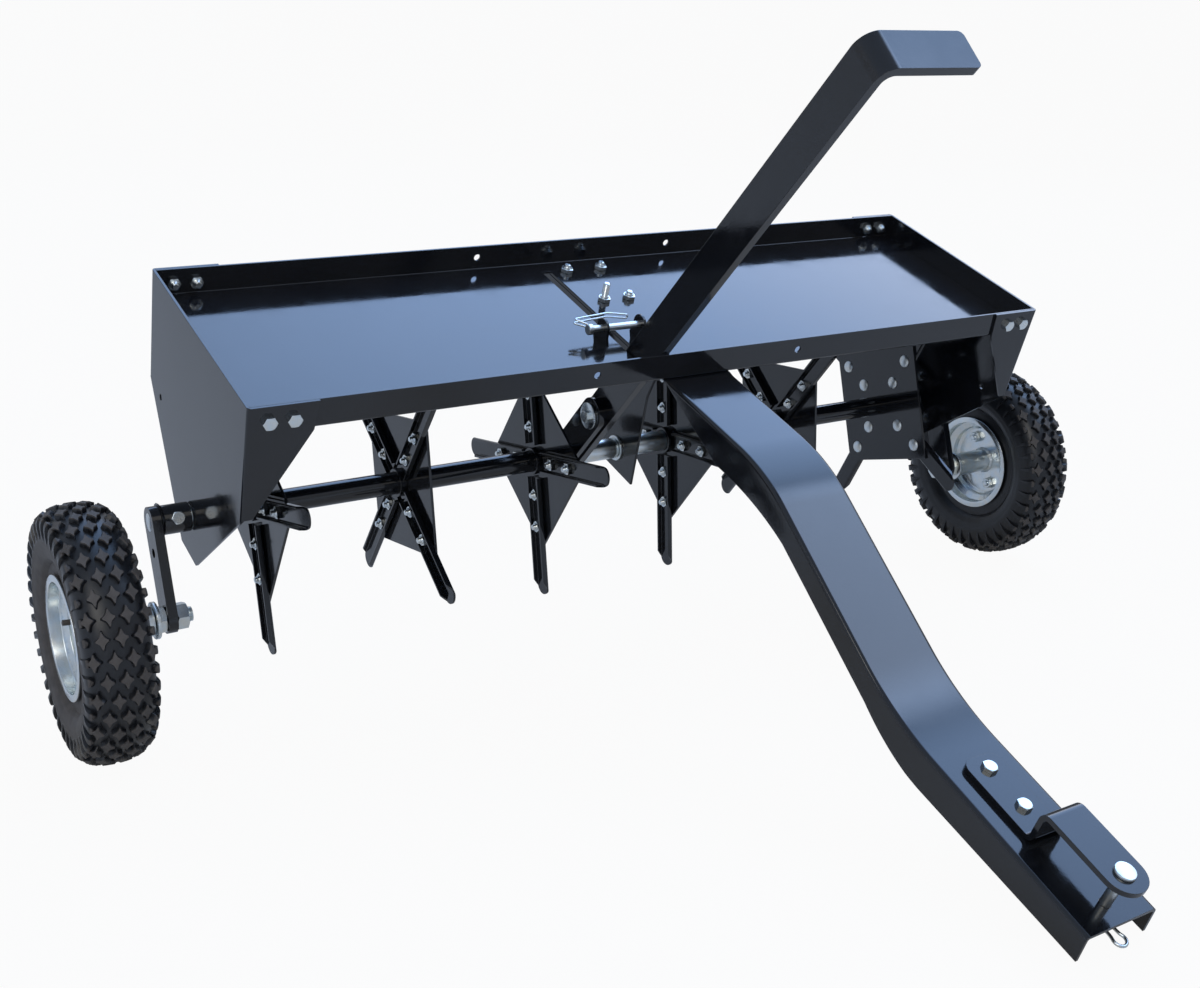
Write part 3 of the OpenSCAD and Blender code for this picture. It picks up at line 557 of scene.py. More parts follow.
def gloss_black_paint():
    """Baked gloss black enamel on sheet steel: a dark mirror with faint orange peel and dust."""
    style = bpy.context.scene.aerator_paint
    finish, tree = new_finish("gloss black enamel")
    place = add(tree, "ShaderNodeTexCoord").outputs["Object"]
    dust = add(tree, "ShaderNodeTexNoise", {"Vector": place, "Scale": per_mm(90), "Detail": 3})
    dusty = add(tree, "ShaderNodeMapRange", {"Value": dust, "From Min": 0.35, "From Max": 0.65})
    base = add(tree, "ShaderNodeMix", {
        0: dusty, 6: opaque(style.colour), 7: opaque(style.dust_colour),
    }, data_type="RGBA")
    hands = add(tree, "ShaderNodeTexNoise", {
        "Vector": place, "Scale": per_mm(26), "Detail": 4, "Roughness": 0.6,
    })
    smudge = add(tree, "ShaderNodeMapRange", {
        "Value": hands, "From Min": 0.3, "From Max": 0.75,
        "To Min": style.roughness, "To Max": style.roughness + 0.10,
    })
    # Orange peel is about 1.5 mm across; it is drawn at 3 mm so that it shows
    peel = add(tree, "ShaderNodeTexNoise", {"Vector": place, "Scale": per_mm(3.0), "Detail": 1.0})
    edge = add(tree, "ShaderNodeBevel", {"Radius": 0.0007}, samples=4)
    bump = add(tree, "ShaderNodeBump", {
        "Strength": 0.055, "Distance": 0.0004, "Height": peel, "Normal": edge,
    })
    shader = add(tree, "ShaderNodeBsdfPrincipled", {
        "Base Color": base.outputs[2], "Roughness": smudge, "IOR": 1.6, "Normal": bump,
    })
    add(tree, "ShaderNodeOutputMaterial", {"Surface": shader})
    return finish


def weld_metal():
    """A weld run under black enamel: the same gloss over rough ripples."""
    finish, tree = new_finish("enamel over weld")
    place = add(tree, "ShaderNodeTexCoord").outputs["Object"]
    ripple = add(tree, "ShaderNodeTexNoise", {"Vector": place, "Scale": per_mm(2.0), "Detail": 3})
    bump = add(tree, "ShaderNodeBump", {"Strength": 0.7, "Distance": 0.0008, "Height": ripple})
    shader = add(tree, "ShaderNodeBsdfPrincipled", {
        "Base Color": linear("#17181B"), "Roughness": 0.3, "IOR": 1.52, "Normal": bump,
    })
    add(tree, "ShaderNodeOutputMaterial", {"Surface": shader})
    return finish


def zinc_plate(name, rough, turning=False):
    """Bright zinc with a blue passivate: cool metal with soft cloudy patches and handling marks."""
    style = bpy.context.scene.aerator_metal
    finish, tree = new_finish(name)
    place = add(tree, "ShaderNodeTexCoord").outputs["Object"]
    cloud = add(tree, "ShaderNodeTexNoise", {"Vector": place, "Scale": per_mm(9), "Detail": 3})
    cloudy = add(tree, "ShaderNodeMapRange", {"Value": cloud, "From Min": 0.3, "From Max": 0.7})
    base = add(tree, "ShaderNodeMix", {
        0: cloudy, 6: opaque(style.colour), 7: opaque(style.warm_colour),
    }, data_type="RGBA")
    marks = add(tree, "ShaderNodeTexNoise", {"Vector": place, "Scale": per_mm(12), "Detail": 2})
    wear = add(tree, "ShaderNodeMapRange", {
        "Value": marks, "From Min": 0.25, "From Max": 0.75, "To Min": rough, "To Max": rough + 0.06,
    })
    # Plated pressings have long low waves, about 6 mm across
    size, strength = 6.0, 0.10
    if turning:
        # Turning marks are 0.1 mm apart; drawn at 0.7 mm so that they show
        place = add(tree, "ShaderNodeMapping", {"Vector": place, "Scale": (14.0, 1.0, 1.0)})
        size, strength = 10, 0.04
    grain = add(tree, "ShaderNodeTexNoise", {"Vector": place, "Scale": per_mm(size), "Detail": 2})
    bump = add(tree, "ShaderNodeBump", {"Strength": strength, "Distance": 0.0002, "Height": grain})
    shader = add(tree, "ShaderNodeBsdfPrincipled", {
        "Base Color": base.outputs[2], "Metallic": 1.0, "Roughness": wear, "Normal": bump,
    })
    add(tree, "ShaderNodeOutputMaterial", {"Surface": shader})
    return finish


def sidewall_dust_and_lit_side(tree):
    """How dusty and how lit the carcass is painted: dust on the outward sidewall inside its moulded
    ring, whose lightness also stands in for the light on that side, with the inward side left dark
    as painted shade.
    """
    place = add(tree, "ShaderNodeTexCoord").outputs["Object"]
    centre = PARKED @ Vector((0, WHEEL_Y, WHEEL_Z))
    flat = add(tree, "ShaderNodeVectorMath", {0: place, 1: (0, 1, 1)}, operation="MULTIPLY")
    radius = add(tree, "ShaderNodeVectorMath", {0: flat, 1: tuple(centre)}, operation="DISTANCE")
    inside = add(tree, "ShaderNodeMapRange", {
        "Value": radius.outputs["Value"], "From Min": 0.098, "From Max": 0.105,
        "To Min": 1, "To Max": 0,
    })
    across = add(tree, "ShaderNodeSeparateXYZ", {"Vector": place})
    across = add(tree, "ShaderNodeMath", {0: across}, operation="ABSOLUTE")
    # Outward side only: the clean dark inward sidewall is painted shade, and the dusty outward side
    # is partly painted light
    outward = add(tree, "ShaderNodeMapRange", {
        "Value": across, "From Min": (WHEEL_X + 8) / 1000, "From Max": (WHEEL_X + 16) / 1000,
    })
    return add(tree, "ShaderNodeMath", {0: inside, 1: outward}, operation="MULTIPLY")


def lug_dust(tree):
    """How dusty a lug is: only its top, which runs on the ground."""
    worn = add(tree, "ShaderNodeAttribute", attribute_name="worn").outputs["Fac"]
    return add(tree, "ShaderNodeMapRange", {"Value": worn, "From Min": 0.75, "From Max": 1.0})


def moulded_rubber(name, dust_and_light_of):
    """Moulded black tyre rubber: low sheen and a fine cast grain, with road dust on it; on the
    carcass the dust also stands in for the light on the outward side.
    """
    style = bpy.context.scene.aerator_tyres
    finish, tree = new_finish(name)
    place = add(tree, "ShaderNodeTexCoord").outputs["Object"]
    patches = add(tree, "ShaderNodeTexNoise", {
        "Vector": place, "Scale": per_mm(14), "Detail": 4, "Roughness": 0.6,
    })
    patches = add(tree, "ShaderNodeMapRange", {"Value": patches, "From Min": 0.35, "From Max": 0.7})
    # On the lugs this is dust alone; on the carcass it is dust and also painted light outward and
    # painted shade inward
    dust = dust_and_light_of(tree)
    clean = add(tree, "ShaderNodeMix", {
        0: patches, 6: opaque(style.colour), 7: linear("#1C1D20"),
    }, data_type="RGBA")
    dusty = add(tree, "ShaderNodeMix", {
        0: patches, 6: opaque(style.dust_colour), 7: linear("#58514B"),
    }, data_type="RGBA")
    base = add(tree, "ShaderNodeMix", {
        0: dust, 6: clean.outputs[2], 7: dusty.outputs[2],
    }, data_type="RGBA")
    rough = add(tree, "ShaderNodeMapRange", {"Value": dust, "To Min": 0.34, "To Max": 0.6})
    grain = add(tree, "ShaderNodeTexNoise", {"Vector": place, "Scale": per_mm(0.8), "Detail": 2})
    bump = add(tree, "ShaderNodeBump", {"Strength": 0.2, "Distance": 0.0003, "Height": grain})
    shader = add(tree, "ShaderNodeBsdfPrincipled", {
        "Base Color": base.outputs[2], "Roughness": rough, "IOR": 1.52, "Normal": bump,
    })
    add(tree, "ShaderNodeOutputMaterial", {"Surface": shader})
    return finish


# Each look: the slot that it fills, and what makes its material
LOOKS = {
    "paint": ("black_paint", gloss_black_paint),
    "weld": ("black_paint", weld_metal),
    "zinc": ("zinc_plate", lambda: zinc_plate("bright zinc plate", 0.22)),
    "turned zinc": ("zinc_plate", lambda: zinc_plate("turned zinc plate", 0.28, True)),
    "pressed zinc": ("zinc_plate", lambda: zinc_plate("pressed zinc wheel steel", 0.2)),
    "satin zinc": ("zinc_plate", lambda: zinc_plate("satin zinc bolt heads", 0.42)),
    "dull zinc": ("zinc_plate", lambda: zinc_plate("dull zinc weld", 0.45)),
    # The carcass's dust mask also paints light on the outward sidewall and shade on the inward one
    "carcass": ("tyre_rubber", lambda: moulded_rubber("tyre carcass rubber", sidewall_dust_and_lit_side)),
    "tread": ("tyre_rubber", lambda: moulded_rubber("dusty tread rubber", lug_dust)),
}
FINISHES = {}


def finish_of(look):
    """Each finish is made once and shared."""
    if look not in FINISHES:
        FINISHES[look] = LOOKS[look][1]()
    return FINISHES[look]


# Places shared by several pieces


def corner_spots():
    """The tray's corner bolts: two at each end of both flanges, pointing inward."""
    return [
        at(s * (CORNER_X - CORNER_PITCH * k), f * FLANGE_Y, CORNER_Z, ("X", f * 90))
        for f in BOTH for s in BOTH for k in (0, 1)
    ]


def wheel_hub(s):
    """The wheel's middle, unturned; s is -1 on the left and 1 on the right."""
    return at(s * WHEEL_X, WHEEL_Y, WHEEL_Z)


def wheel_centre(s):
    """The wheel's middle with x outward."""
    return wheel_hub(s) if s > 0 else wheel_hub(s) @ turned("Z", 180)


def tine_spots(side):
    """One matrix per trough: z along it, x away from its open side."""
    spots = []
    for x, angle, facing in SPIDERS[side]:
        spider = at(x, 0, 0, ("X", angle))
        if facing < 0:
            spider = spider @ turned("Z", 180)
        spots += [spider @ turned("X", 90 * k) for k in range(4)]
    return spots


def tine_bolt_spots(side, shift):
    """The two carriage bolts of every trough."""
    return [m @ at(shift, 0, r, ("Y", -90)) for m in tine_spots(side) for r in TINE_BOLTS]


def tongue_end():
    """The tongue's front end: y back along its top, z square off it."""
    return Matrix.Translation((0, -END_Y, END_Z)) @ Matrix.Rotation(SLOPE_B, 4, "X")


def bend_points(y, z, start, end, radius):
    """Points of a bend from one slope to another; a negative radius bends it upward."""
    steps = 24
    points = []
    for i in range(steps + 1):
        t = start + (end - start) * i / steps
        dy = radius * (math.sin(t) - math.sin(start))
        dz = radius * (math.cos(start) - math.cos(t))
        points.append((y - dy, z - dz, t))
    return points


def straight_points(start, y, z, slope, shares):
    """Points at these shares of the way from start to (y, z)."""
    return [(start[0] + (y - start[0]) * k, start[1] + (z - start[1]) * k, slope) for k in shares]


def tongue_path():
    """(y, z, slope) along the tongue's top from the tray's rear to the hitch."""
    # How far each bend reaches from its corner, measured along the tongue
    reach_a, reach_b = 45, 55
    turn_b = SLOPE_A - SLOPE_B
    radius_a = reach_a / math.tan(SLOPE_A / 2)
    radius_b = reach_b / math.tan(turn_b / 2)
    b_y = -KINK_Y + reach_b * math.cos(SLOPE_A)
    b_z = KINK_Z + reach_b * math.sin(SLOPE_A)
    growth = WALL_FULL - WALL_START
    path = [(138, FLOOR, 0), (-100, FLOOR, 0)]
    path += [(-WALL_START - growth * i / 12, FLOOR, 0) for i in range(13)]
    path += bend_points(-BEND_Y + reach_a, FLOOR, 0, SLOPE_A, radius_a)
    path += straight_points(path[-1], b_y, b_z, SLOPE_A, (1 / 3, 2 / 3))
    path += bend_points(b_y, b_z, SLOPE_A, SLOPE_B, -radius_b)
    path += straight_points(path[-1], -END_Y, END_Z, SLOPE_B, [i / 6 for i in range(1, 7)])
    return path


def wall_depth(y):
    """Depth of the tongue's side walls: none under the tray, then full, then tapered."""
    full = 38.0
    stops = ((-WALL_START, TONGUE_SHEET), (-WALL_FULL, full), (-600, full), (-END_Y, full - 9.5))
    for (y0, depth0), (y1, depth1) in zip(stops, stops[1:]):
        if y > y0:
            return depth0
        if y > y1:
            return depth0 + (depth1 - depth0) * (y0 - y) / (y0 - y1)
    return stops[-1][1]


# The tyre's section


def mark_worn(piece, height):
    """Mark the points above a height as worn, for the dust on the lugs."""
    worn = piece.data.attributes.new("worn", "FLOAT", "POINT")
    for vert in piece.data.vertices:
        worn.data[vert.index].value = 1.0 if vert.co.z > height else 0.0


class Carcass:
    """The tyre's section between its bead and the foot of its lugs."""

    # The section is a superellipse, squarer than an ellipse
    power = 0.77

    def __init__(self, style):
        self.mid = (TYRE_R + BEAD_R) / 2
        self.half_h = TYRE_R - style.lug_height - self.mid
        self.half_w = style.width / 2 - 1.4

    def skin(self, t, lift=0.0):
        """(x, radius) at section angle t, which is 0 in the middle of the tread, raised by lift."""
        c, k = math.cos(t), math.sin(t)
        x = (self.half_w + lift) * math.copysign(abs(k) ** self.power, k)
        r = self.mid + (self.half_h + lift) * math.copysign(abs(c) ** self.power, c)
        return x, r

    def tread_spot(self, x):
        """(x, radius, slope in degrees) of the tread at x."""
        t = math.copysign(math.asin((abs(x) / self.half_w) ** (1 / self.power)), x)
        x, r = self.skin(t)
        xa, ra = self.skin(t - 0.02)
        xb, rb = self.skin(t + 0.02)
        slope = math.atan2(-(rb - ra), xb - xa)
        return x, r, math.degrees(slope)

    def outline(self):
        """The closed section: outer skin with two moulded ridges, beads and inner skin."""
        points = []
        for degrees in range(-140, 141, 4):
            x, r = self.skin(math.radians(degrees))
            ridge = 0.9 * math.exp(-((abs(degrees) - 92) / 2.4) ** 2)
            ridge += 0.5 * math.exp(-((abs(degrees) - 124) / 2.2) ** 2)
            points.append((x + math.copysign(ridge, x), r))
        bead = [(24.6, 62.5), (24.0, 59.0), (17, 59.0)]
        points += bead
        points += [self.skin(math.radians(degrees), -7.0) for degrees in range(125, -126, -10)]
        points += [(-x, r) for x, r in reversed(bead)]
        return points


# Settings

COLOUR = {"subtype": "COLOR", "size": 3, "min": 0, "max": 1}


class AeratorPaintSettings(bpy.types.PropertyGroup):
    """The black enamel."""

    colour: bpy.props.FloatVectorProperty(
        name="Enamel colour", description="Linear colour of the gloss black enamel",
        default=linear("#101216")[:3], **COLOUR)
    dust_colour: bpy.props.FloatVectorProperty(
        name="Dusty colour", description="Linear colour of the enamel where dust lies on it",
        default=linear("#191A1D")[:3], **COLOUR)
    roughness: bpy.props.FloatProperty(
        name="Gloss", description="Lowest roughness of the enamel", min=0.02, max=0.6, default=0.06)
    fold_radius: bpy.props.FloatProperty(
        name="Fold radius", description="Outer radius of the folds in the sheet, in millimetres",
        min=1, max=8, default=3.5)


class AeratorMetalSettings(bpy.types.PropertyGroup):
    """The zinc plated pieces."""

    colour: bpy.props.FloatVectorProperty(
        name="Zinc colour", description="Linear colour of the zinc plate",
        default=linear("#D6E2EA")[:3], **COLOUR)
    warm_colour: bpy.props.FloatVectorProperty(
        name="Warm patches", description="Linear colour of the plate's warmer patches",
        default=linear("#E4E4DE")[:3], **COLOUR)


class AeratorTyreSettings(bpy.types.PropertyGroup):
    """The tyres."""

    colour: bpy.props.FloatVectorProperty(
        name="Rubber colour", description="Linear colour of the clean rubber",
        default=linear("#101114")[:3], **COLOUR)
    dust_colour: bpy.props.FloatVectorProperty(
        name="Dust colour", description="Linear colour of the road dust on the rubber",
        default=linear("#46403B")[:3], **COLOUR)
    lugs: bpy.props.IntProperty(
        name="Lugs", description="Lugs in one row round the tyre", min=12, max=40, default=20)
    lug_height: bpy.props.FloatProperty(
        name="Lug height", description="Height of the tread lugs in millimetres",
        min=2, max=8, default=5.0)
    lug_length: bpy.props.FloatProperty(
        name="Lug length", description="Length of a lug round the tyre in millimetres",
        min=8, max=20, default=17.0)
    lug_width: bpy.props.FloatProperty(
        name="Lug width", description="Width of a lug across the tyre in millimetres",
        min=8, max=20, default=12.2)
    row_pitch: bpy.props.FloatProperty(
        name="Row spacing", description="Spacing of the lug rows in millimetres",
        min=6, max=12, default=8.1)
    width: bpy.props.FloatProperty(
        name="Tyre width", description="Width of the tyre in millimetres",
        min=60, max=75, default=69.6)


class AeratorStageSettings(bpy.types.PropertyGroup):
    """The floor, the light and the camera."""

    floor_colour: bpy.props.FloatVectorProperty(
        name="Floor colour", description="Linear colour of the floor",
        default=linear("#B4B3B1")[:3], **COLOUR)
    lens: bpy.props.FloatProperty(
        name="Lens", description="Focal length of the camera",
        unit="CAMERA", min=20, max=120, default=44.73)
    floor_white: bpy.props.FloatProperty(
        name="Floor whiteness", description="Share of plain white in the floor that is seen",
        subtype="FACTOR", min=0, max=1, default=0.95)
    floor_mirrored: bpy.props.FloatProperty(
        name="Floor in reflections",
        description="Share of plain white in the floor that metal and gloss reflect",
        subtype="FACTOR", min=0, max=1, default=0.22)
    sky_strength: bpy.props.FloatProperty(
        name="Sky strength", description="Strength of the soft sky round the machine",
        min=0, max=3, default=0.8)
    patch_strength: bpy.props.FloatProperty(
        name="Blue patch", description="Strength of the blue patch of sky behind the machine",
        min=0, max=6, default=3.3)
    patch_way: bpy.props.FloatVectorProperty(
        name="Blue patch direction", description="Where the blue patch of sky stands",
        subtype="DIRECTION", size=3, default=(0.6, 0.4, 0.69))
    cloud_strength: bpy.props.FloatProperty(
        name="Cloud", description="Strength of the pale cloud over the machine's right side",
        min=0, max=6, default=3.8)
    cloud_way: bpy.props.FloatVectorProperty(
        name="Cloud direction", description="Where the pale cloud stands",
        subtype="DIRECTION", size=3, default=(0.62, -0.28, 0.733))


# Operators


class MakeTray(bpy.types.Operator):
    """Build the open tray and the two end plates from folded sheet"""

    bl_idname = "aerator.tray"
    bl_label = "Tray and end plates"

    def execute(self, context):
        fold = context.scene.aerator_paint.fold_radius
        self.pan(fold)
        # The dark strips under the lever's slot are painted shade, not a part of the machine
        self.lips()
        for side in SIDES:
            node = "end_plate_" + side
            plate = from_cad(node)
            fold_edges(plate, self.is_flange_fold, fold)
            ease_edges(plate, 0.5)
            seat(plate, "end_plate_pressed_" + side, "frame", "paint", (node,))
        return {"FINISHED"}

    def pan(self, fold):
        """The floor and its two rims from one sheet, with the lever's slot and the strap holes."""
        inner = max(fold - TRAY_SHEET, 0.6)
        y, low, top = TRAY_Y, FLOOR, TRAY_TOP
        section = [(-y, top)] + arc(-y + fold, low + fold, fold, 180, 270, 6)
        section += arc(y - fold, low + fold, fold, 270, 360, 6) + [(y, top), (y - TRAY_SHEET, top)]
        y -= TRAY_SHEET + inner
        low += TRAY_SHEET + inner
        section += arc(y, low, inner, 0, -90, 5) + arc(-y, low, inner, -90, -180, 5)
        section += [(-y - inner, top)]
        tray = Shape().add(*prism(section, -TRAY_X, TRAY_X)).make("tray")
        through = 2 * TRAY_SHEET
        slot = prism(oblong(*SLOT_X, *SLOT_Y), FLOOR - TRAY_SHEET, FLOOR + through, "z")
        knife = Shape().add(*slot)
        reach = TRAY_Y + through
        for s in BOTH:
            knife.add(*rod(STRAP_R, -reach, reach, 24, 0.0), at(s * STRAP_X, 0, STRAP_Z, ("Z", 90)))
        cut(tray, knife)
        ease_edges(tray, 0.5)
        seat(tray, "tray_pan", "frame", "paint", ("tray",))

    def lips(self):
        """Dark strips under the slot's long edges that close the view through it: painted shade,
        since the machine has no such lips and only shade shows through the slot there.
        """
        gap, thick, low, high = 0.2, 2.2, 173.5, 182.7
        outline = oblong(SLOT_Y[0], SLOT_Y[1] + 18, low, high)
        lips = Shape()
        for x in (SLOT_X[0] - gap - thick, SLOT_X[1] + gap):
            lips.add(*prism(outline, x, x + thick))
        piece = lips.make("lips")
        ease_edges(piece, 0.4)
        seat(piece, "slot_lips", "frame", "paint")

    def is_flange_fold(self, a, b):
        """The upright outer edges where an end plate turns into its flanges."""
        near = 0.1
        on_face = abs(abs(a.x) - PLATE_X) < near and abs(abs(b.x) - PLATE_X) < near
        on_flange = abs(abs(a.y) - FLANGE_Y) < near and abs(a.y - b.y) < near
        return on_face and on_flange and abs(a.z - b.z) > 20


class MakeTongue(bpy.types.Operator):
    """Build the bent channel tongue and its hanger"""

    bl_idname = "aerator.tongue"
    bl_label = "Tongue"

    def execute(self, context):
        tongue = Shape().add(*sweep([self.ring(*spot) for spot in tongue_path()])).make("tongue")
        hole_r, through = 5.6, 20
        hole = tongue_end() @ at(0, PIN_Y, 0, ("Y", 90))
        cut(tongue, Shape().add(*rod(hole_r, -through, through, 32, 0.0), hole))
        ease_edges(tongue, 0.5, 2, 50)
        seat(tongue, "tongue_channel", "frame", "paint", ("tongue",))
        dress("hanger_plate", "hanger_gusset", "frame", "paint", 0.5)
        return {"FINISHED"}

    def ring(self, y, z, slope):
        """The channel's section at one point: round its outside, then back round its inside."""
        half = 43
        depth = wall_depth(y)
        outer = min(5.0, depth - 0.6)
        inner = max(min(2.0, depth - TONGUE_SHEET), 0.02)
        outside = [(-half, depth)] + arc(-half + outer, outer, outer, 180, 270, 4)
        outside += [(-x, down) for x, down in reversed(outside)]
        half -= TONGUE_SHEET
        inside = [(half, depth)] + arc(half - inner, TONGUE_SHEET + inner, inner, 0, -90, 3)
        inside += [(-x, down) for x, down in reversed(inside)]
        # Every section is square to the tongue but the front end, which is cut upright
        lean = 0 if y < 0.1 - END_Y else math.sin(slope)
        return [(x, y - down * lean, z - down * math.cos(slope)) for x, down in outside + inside]


class MakeHitch(bpy.types.Operator):
    """Build the bent hitch bar, its pin and the spring clip"""

    bl_idname = "aerator.hitch"
    bl_label = "Hitch"

    def execute(self, context):
        end = tongue_end()
        # The bar's middle line: back along the tongue, up its step, and forward to the pin
        width, bend, rear_y, step_y = 42, 7.0, 187, 94.75
        mid = HITCH_THICK / 2
        top = 33.5 + mid
        path = [(rear_y, mid)] + arc(step_y + bend, mid + bend, bend, 270, 180, 8)
        path += arc(step_y - bend, top - bend, bend, 0, 90, 8) + [(0, top)]
        bar = flat_bar(
            path, width, HITCH_THICK, 12, width / 2, lambda u, w, x: end @ Vector((x, u, w)))
        bar = Shape().add(*bar).make("bar")
        ease_edges(bar, 0.7)
        seat(bar, "hitch_bar", "frame", "paint", ("hitch_clevis",))

        pin = Shape().add(*lathe([
            (-31, 0.05), (-31, 4.2), (-29.8, 5.2), (38.9, 5.2), (38.9, 9.4), (39.4, 9.8),
            (41.4, 9.8), (42.2, 9.2), (42.5, 8.0), (42.5, 0.05),
        ], 64), end @ at(0, PIN_Y, 0, ("Y", -90)))
        seat(pin.make("pin"), "hitch_pin_turned", "hitch_pin", "turned zinc", ("hitch_pin",))

        # One leg through the pin, round the ring, and the sprung leg back past the pin
        ring_x, ring_y, ring_r = 5, -24.5, 6.5
        wire = [(0, 16), (0, -18)] + arc(ring_x, ring_y, ring_r, 150, 400, 10)
        wire += [(8.7, -6), (8.7, 5), (13.4, 14)]
        wire = [end @ Vector((x, PIN_Y + y, -21)) for x, y in wire]
        clip = Shape().add(*round_wire(wire, 1.5)).make("clip")
        seat(clip, "hitch_spring_clip", "hitch_clip", "zinc", ("hitch_clip",))
        return {"FINISHED"}


class MakeLock(bpy.types.Operator):
    """Build the lock ears, the lock pin and its wire keeper"""

    bl_idname = "aerator.lock"
    bl_label = "Lever lock"

    def execute(self, context):
        dress("lock_ears", "lock_lugs", "frame", "paint", 0.5)
        pin = Shape().add(*lathe([
            (-92.5, 0.05), (-92.5, 5.2), (-91.8, 6.0), (-87.2, 6.0), (-86.5, 5.2), (-86.5, 4.0),
            (-21.2, 4.0), (-20.0, 2.9), (-20.0, 0.05),
        ], 48), at(0, LOCK_Y, LOCK_Z)).make("pin")
        seat(pin, "lock_pin_turned", "lock_pin", "turned zinc", ("lock_pin",))
        # x across, y and z from the pin's line: round its head, along it and back out
        points = [
            (-89.5, 5, 0), (-103.5, 14, 2), (-58, 18.6, 3), (-34, 13.6, 1),
            (-33, 13.6, 5.5), (-58, 18.6, 7.5), (-102.5, 14.5, 6.5), (-90, 4.2, 4),
        ]
        points = [(x, LOCK_Y + y, LOCK_Z + z) for x, y, z in points]
        wire = Shape().add(*round_wire(points, 1.0)).make("wire")
        seat(wire, "lock_keeper_wire", "lock_pin", "zinc", ("lock_wire",))
        return {"FINISHED"}


class MakeLever(bpy.types.Operator):
    """Build the lift lever with its bent grip, and the arms that turn with it"""

    bl_idname = "aerator.lever"
    bl_label = "Lift lever"

    def execute(self, context):
        lean = turned("X", LEVER_LEAN)
        # The bar's middle line: up from below the axle, over the bend and out along the grip
        width, thick, bend, grip_end = 42, 9.5, 15.25, 60
        x, top = -49.25, 686 - thick / 2
        path = [(x, -width / 2), (x, 300)] + arc(x + bend, top - bend, bend, 180, 90, 12)
        path.append((grip_end, top))
        bar = flat_bar(path, width, thick, width / 2, 6, lambda a, b, w: lean @ Vector((a, w, b)))
        bar = Shape().add(*bar).make("bar")
        ease_edges(bar, 1.1, 3)
        seat(bar, "lever_bar", "lift", "paint", ("lever",))
        for node in ("lower_arm", "wheel_arm_left", "wheel_arm_right"):
            dress(node, node + "_bar", "lift", "paint", 0.9, 3)
        beads = Shape()
        for s in BOTH:
            beads.add(*weld_ring(s * ARM_FACE_X, 15.3, 3.4, -s))
        seat(beads.make("welds"), "arm_weld_runs", "lift", "weld")
        return {"FINISHED"}


class MakeAxles(bpy.types.Operator):
    """Build the lift axle, spacers, bushes, washers and wheel axles"""

    bl_idname = "aerator.axles"
    bl_label = "Axles and spacers"

    def execute(self, context):
        for node, body, look in (
            ("lift_axle", "lift", "turned zinc"), ("sleeves", "lift", "turned zinc"),
            ("washers", "lift", "zinc"), ("axle_bushes", "frame", "turned zinc"),
        ):
            dress(node, node + "_turned", body, look, 0.4)
        stub = Shape()
        for s in BOTH:
            m = wheel_centre(s)
            stub.add(*threaded(16, 0, 60, 2.0, 28), m @ at(-101.4, 0, 0, ("Y", 90)))
            stub.add(*rod(8, -44, 7.5, 32, 0.2), m)
            stub.add(*hexagon(24, 0, 8), m @ at(7.3, 0, 0, ("Y", 90)))
        seat(stub.make("stub"), "wheel_axle_bolts", "lift", "zinc", ("wheel_axles",))
        for name, height, x, way, stands_for in (
            ("wheel_axle_nuts_cut", 12.8, ARM_FACE_X, -90, ("wheel_axle_nuts",)),
            ("wheel_axle_jam_nuts", 8, ARM_FACE_X + ARM_THICK, 90, ()),
        ):
            nut = nut_shape(16, height).make("nut")
            spots = [at(s * x, WHEEL_Y, WHEEL_Z, ("Y", s * way)) for s in BOTH]
            seat_copies(name, nut, spots, "lift", "zinc", stands_for)
            drop(nut)
        return {"FINISHED"}


class MakeFasteners(bpy.types.Operator):
    """Build every hex bolt and nut of the frame and the lift"""

    bl_idname = "aerator.fasteners"
    bl_label = "Bolts and nuts"

    def execute(self, context):
        end = tongue_end()
        lever = turned("X", LEVER_LEAN)
        arms = turned("X", ARM_ANGLE - 180)
        under, over = FLOOR - TONGUE_SHEET, FLOOR + TRAY_SHEET
        rear = [(s * 23.5, 113) for s in BOTH]
        front = [(s * 17, 36) for s in BOTH]
        sets = (
            ("corner_bolt_heads", "frame", "corner_bolts", bolt_shape(8, 14.9), corner_spots()),
            ("corner_lock_nuts", "frame", "corner_nuts", nut_shape(8, 6.4, 1.8),
             [m @ at(0, 0, 5.5) for m in corner_spots()]),
            ("floor_bolts", "frame", "tongue_bolts", bolt_shape(8, 14.9),
             [at(x, y, under) for x, y in rear + front[1:]]),
            ("floor_stud", "frame", None, bolt_shape(8, 27.9),
             [at(x, y, under) for x, y in front[:1]]),
            ("floor_lock_nuts", "frame", "tongue_nuts", nut_shape(8, 6.4, 1.4, 1.72),
             [at(x, y, over) for x, y in rear + front]),
            ("hitch_bolts", "frame", "clevis_bolts", bolt_shape(8.2, 19.5, 0.52),
             [end @ at(0, y, HITCH_THICK, ("X", 180)) for y in HITCH_BOLTS]),
            ("hitch_nuts", "frame", "clevis_nuts", nut_shape(10, 8),
             [end @ at(0, y, -TONGUE_SHEET - 8) for y in HITCH_BOLTS]),
            ("lever_bolt_hex", "lift", "lever_bolt", bolt_shape(8, 30.4),
             [lever @ at(-66, 0, 95, ("Y", 90))]),
            ("lever_nut_hex", "lift", "lever_nut", nut_shape(8, 6.4, 1.6),
             [lever @ at(-44.5, 0, 95, ("Y", 90))]),
            ("arm_cross_bolts", "lift", "arm_bolts", bolt_shape(8, 40.4),
             [arms @ at(s * 525, -15.5, 0, ("X", -90)) for s in BOTH]),
            ("arm_cross_nuts", "lift", "arm_nuts", nut_shape(8, 6.4, 1.6),
             [arms @ at(s * 525, 15.5, 0, ("X", -90)) for s in BOTH]),
        )
        for name, body, node, shape, spots in sets:
            source = shape.make("source")
            seat_copies(name, source, spots, body, "zinc", (node,) if node else (), 30)
            drop(source)
        return {"FINISHED"}


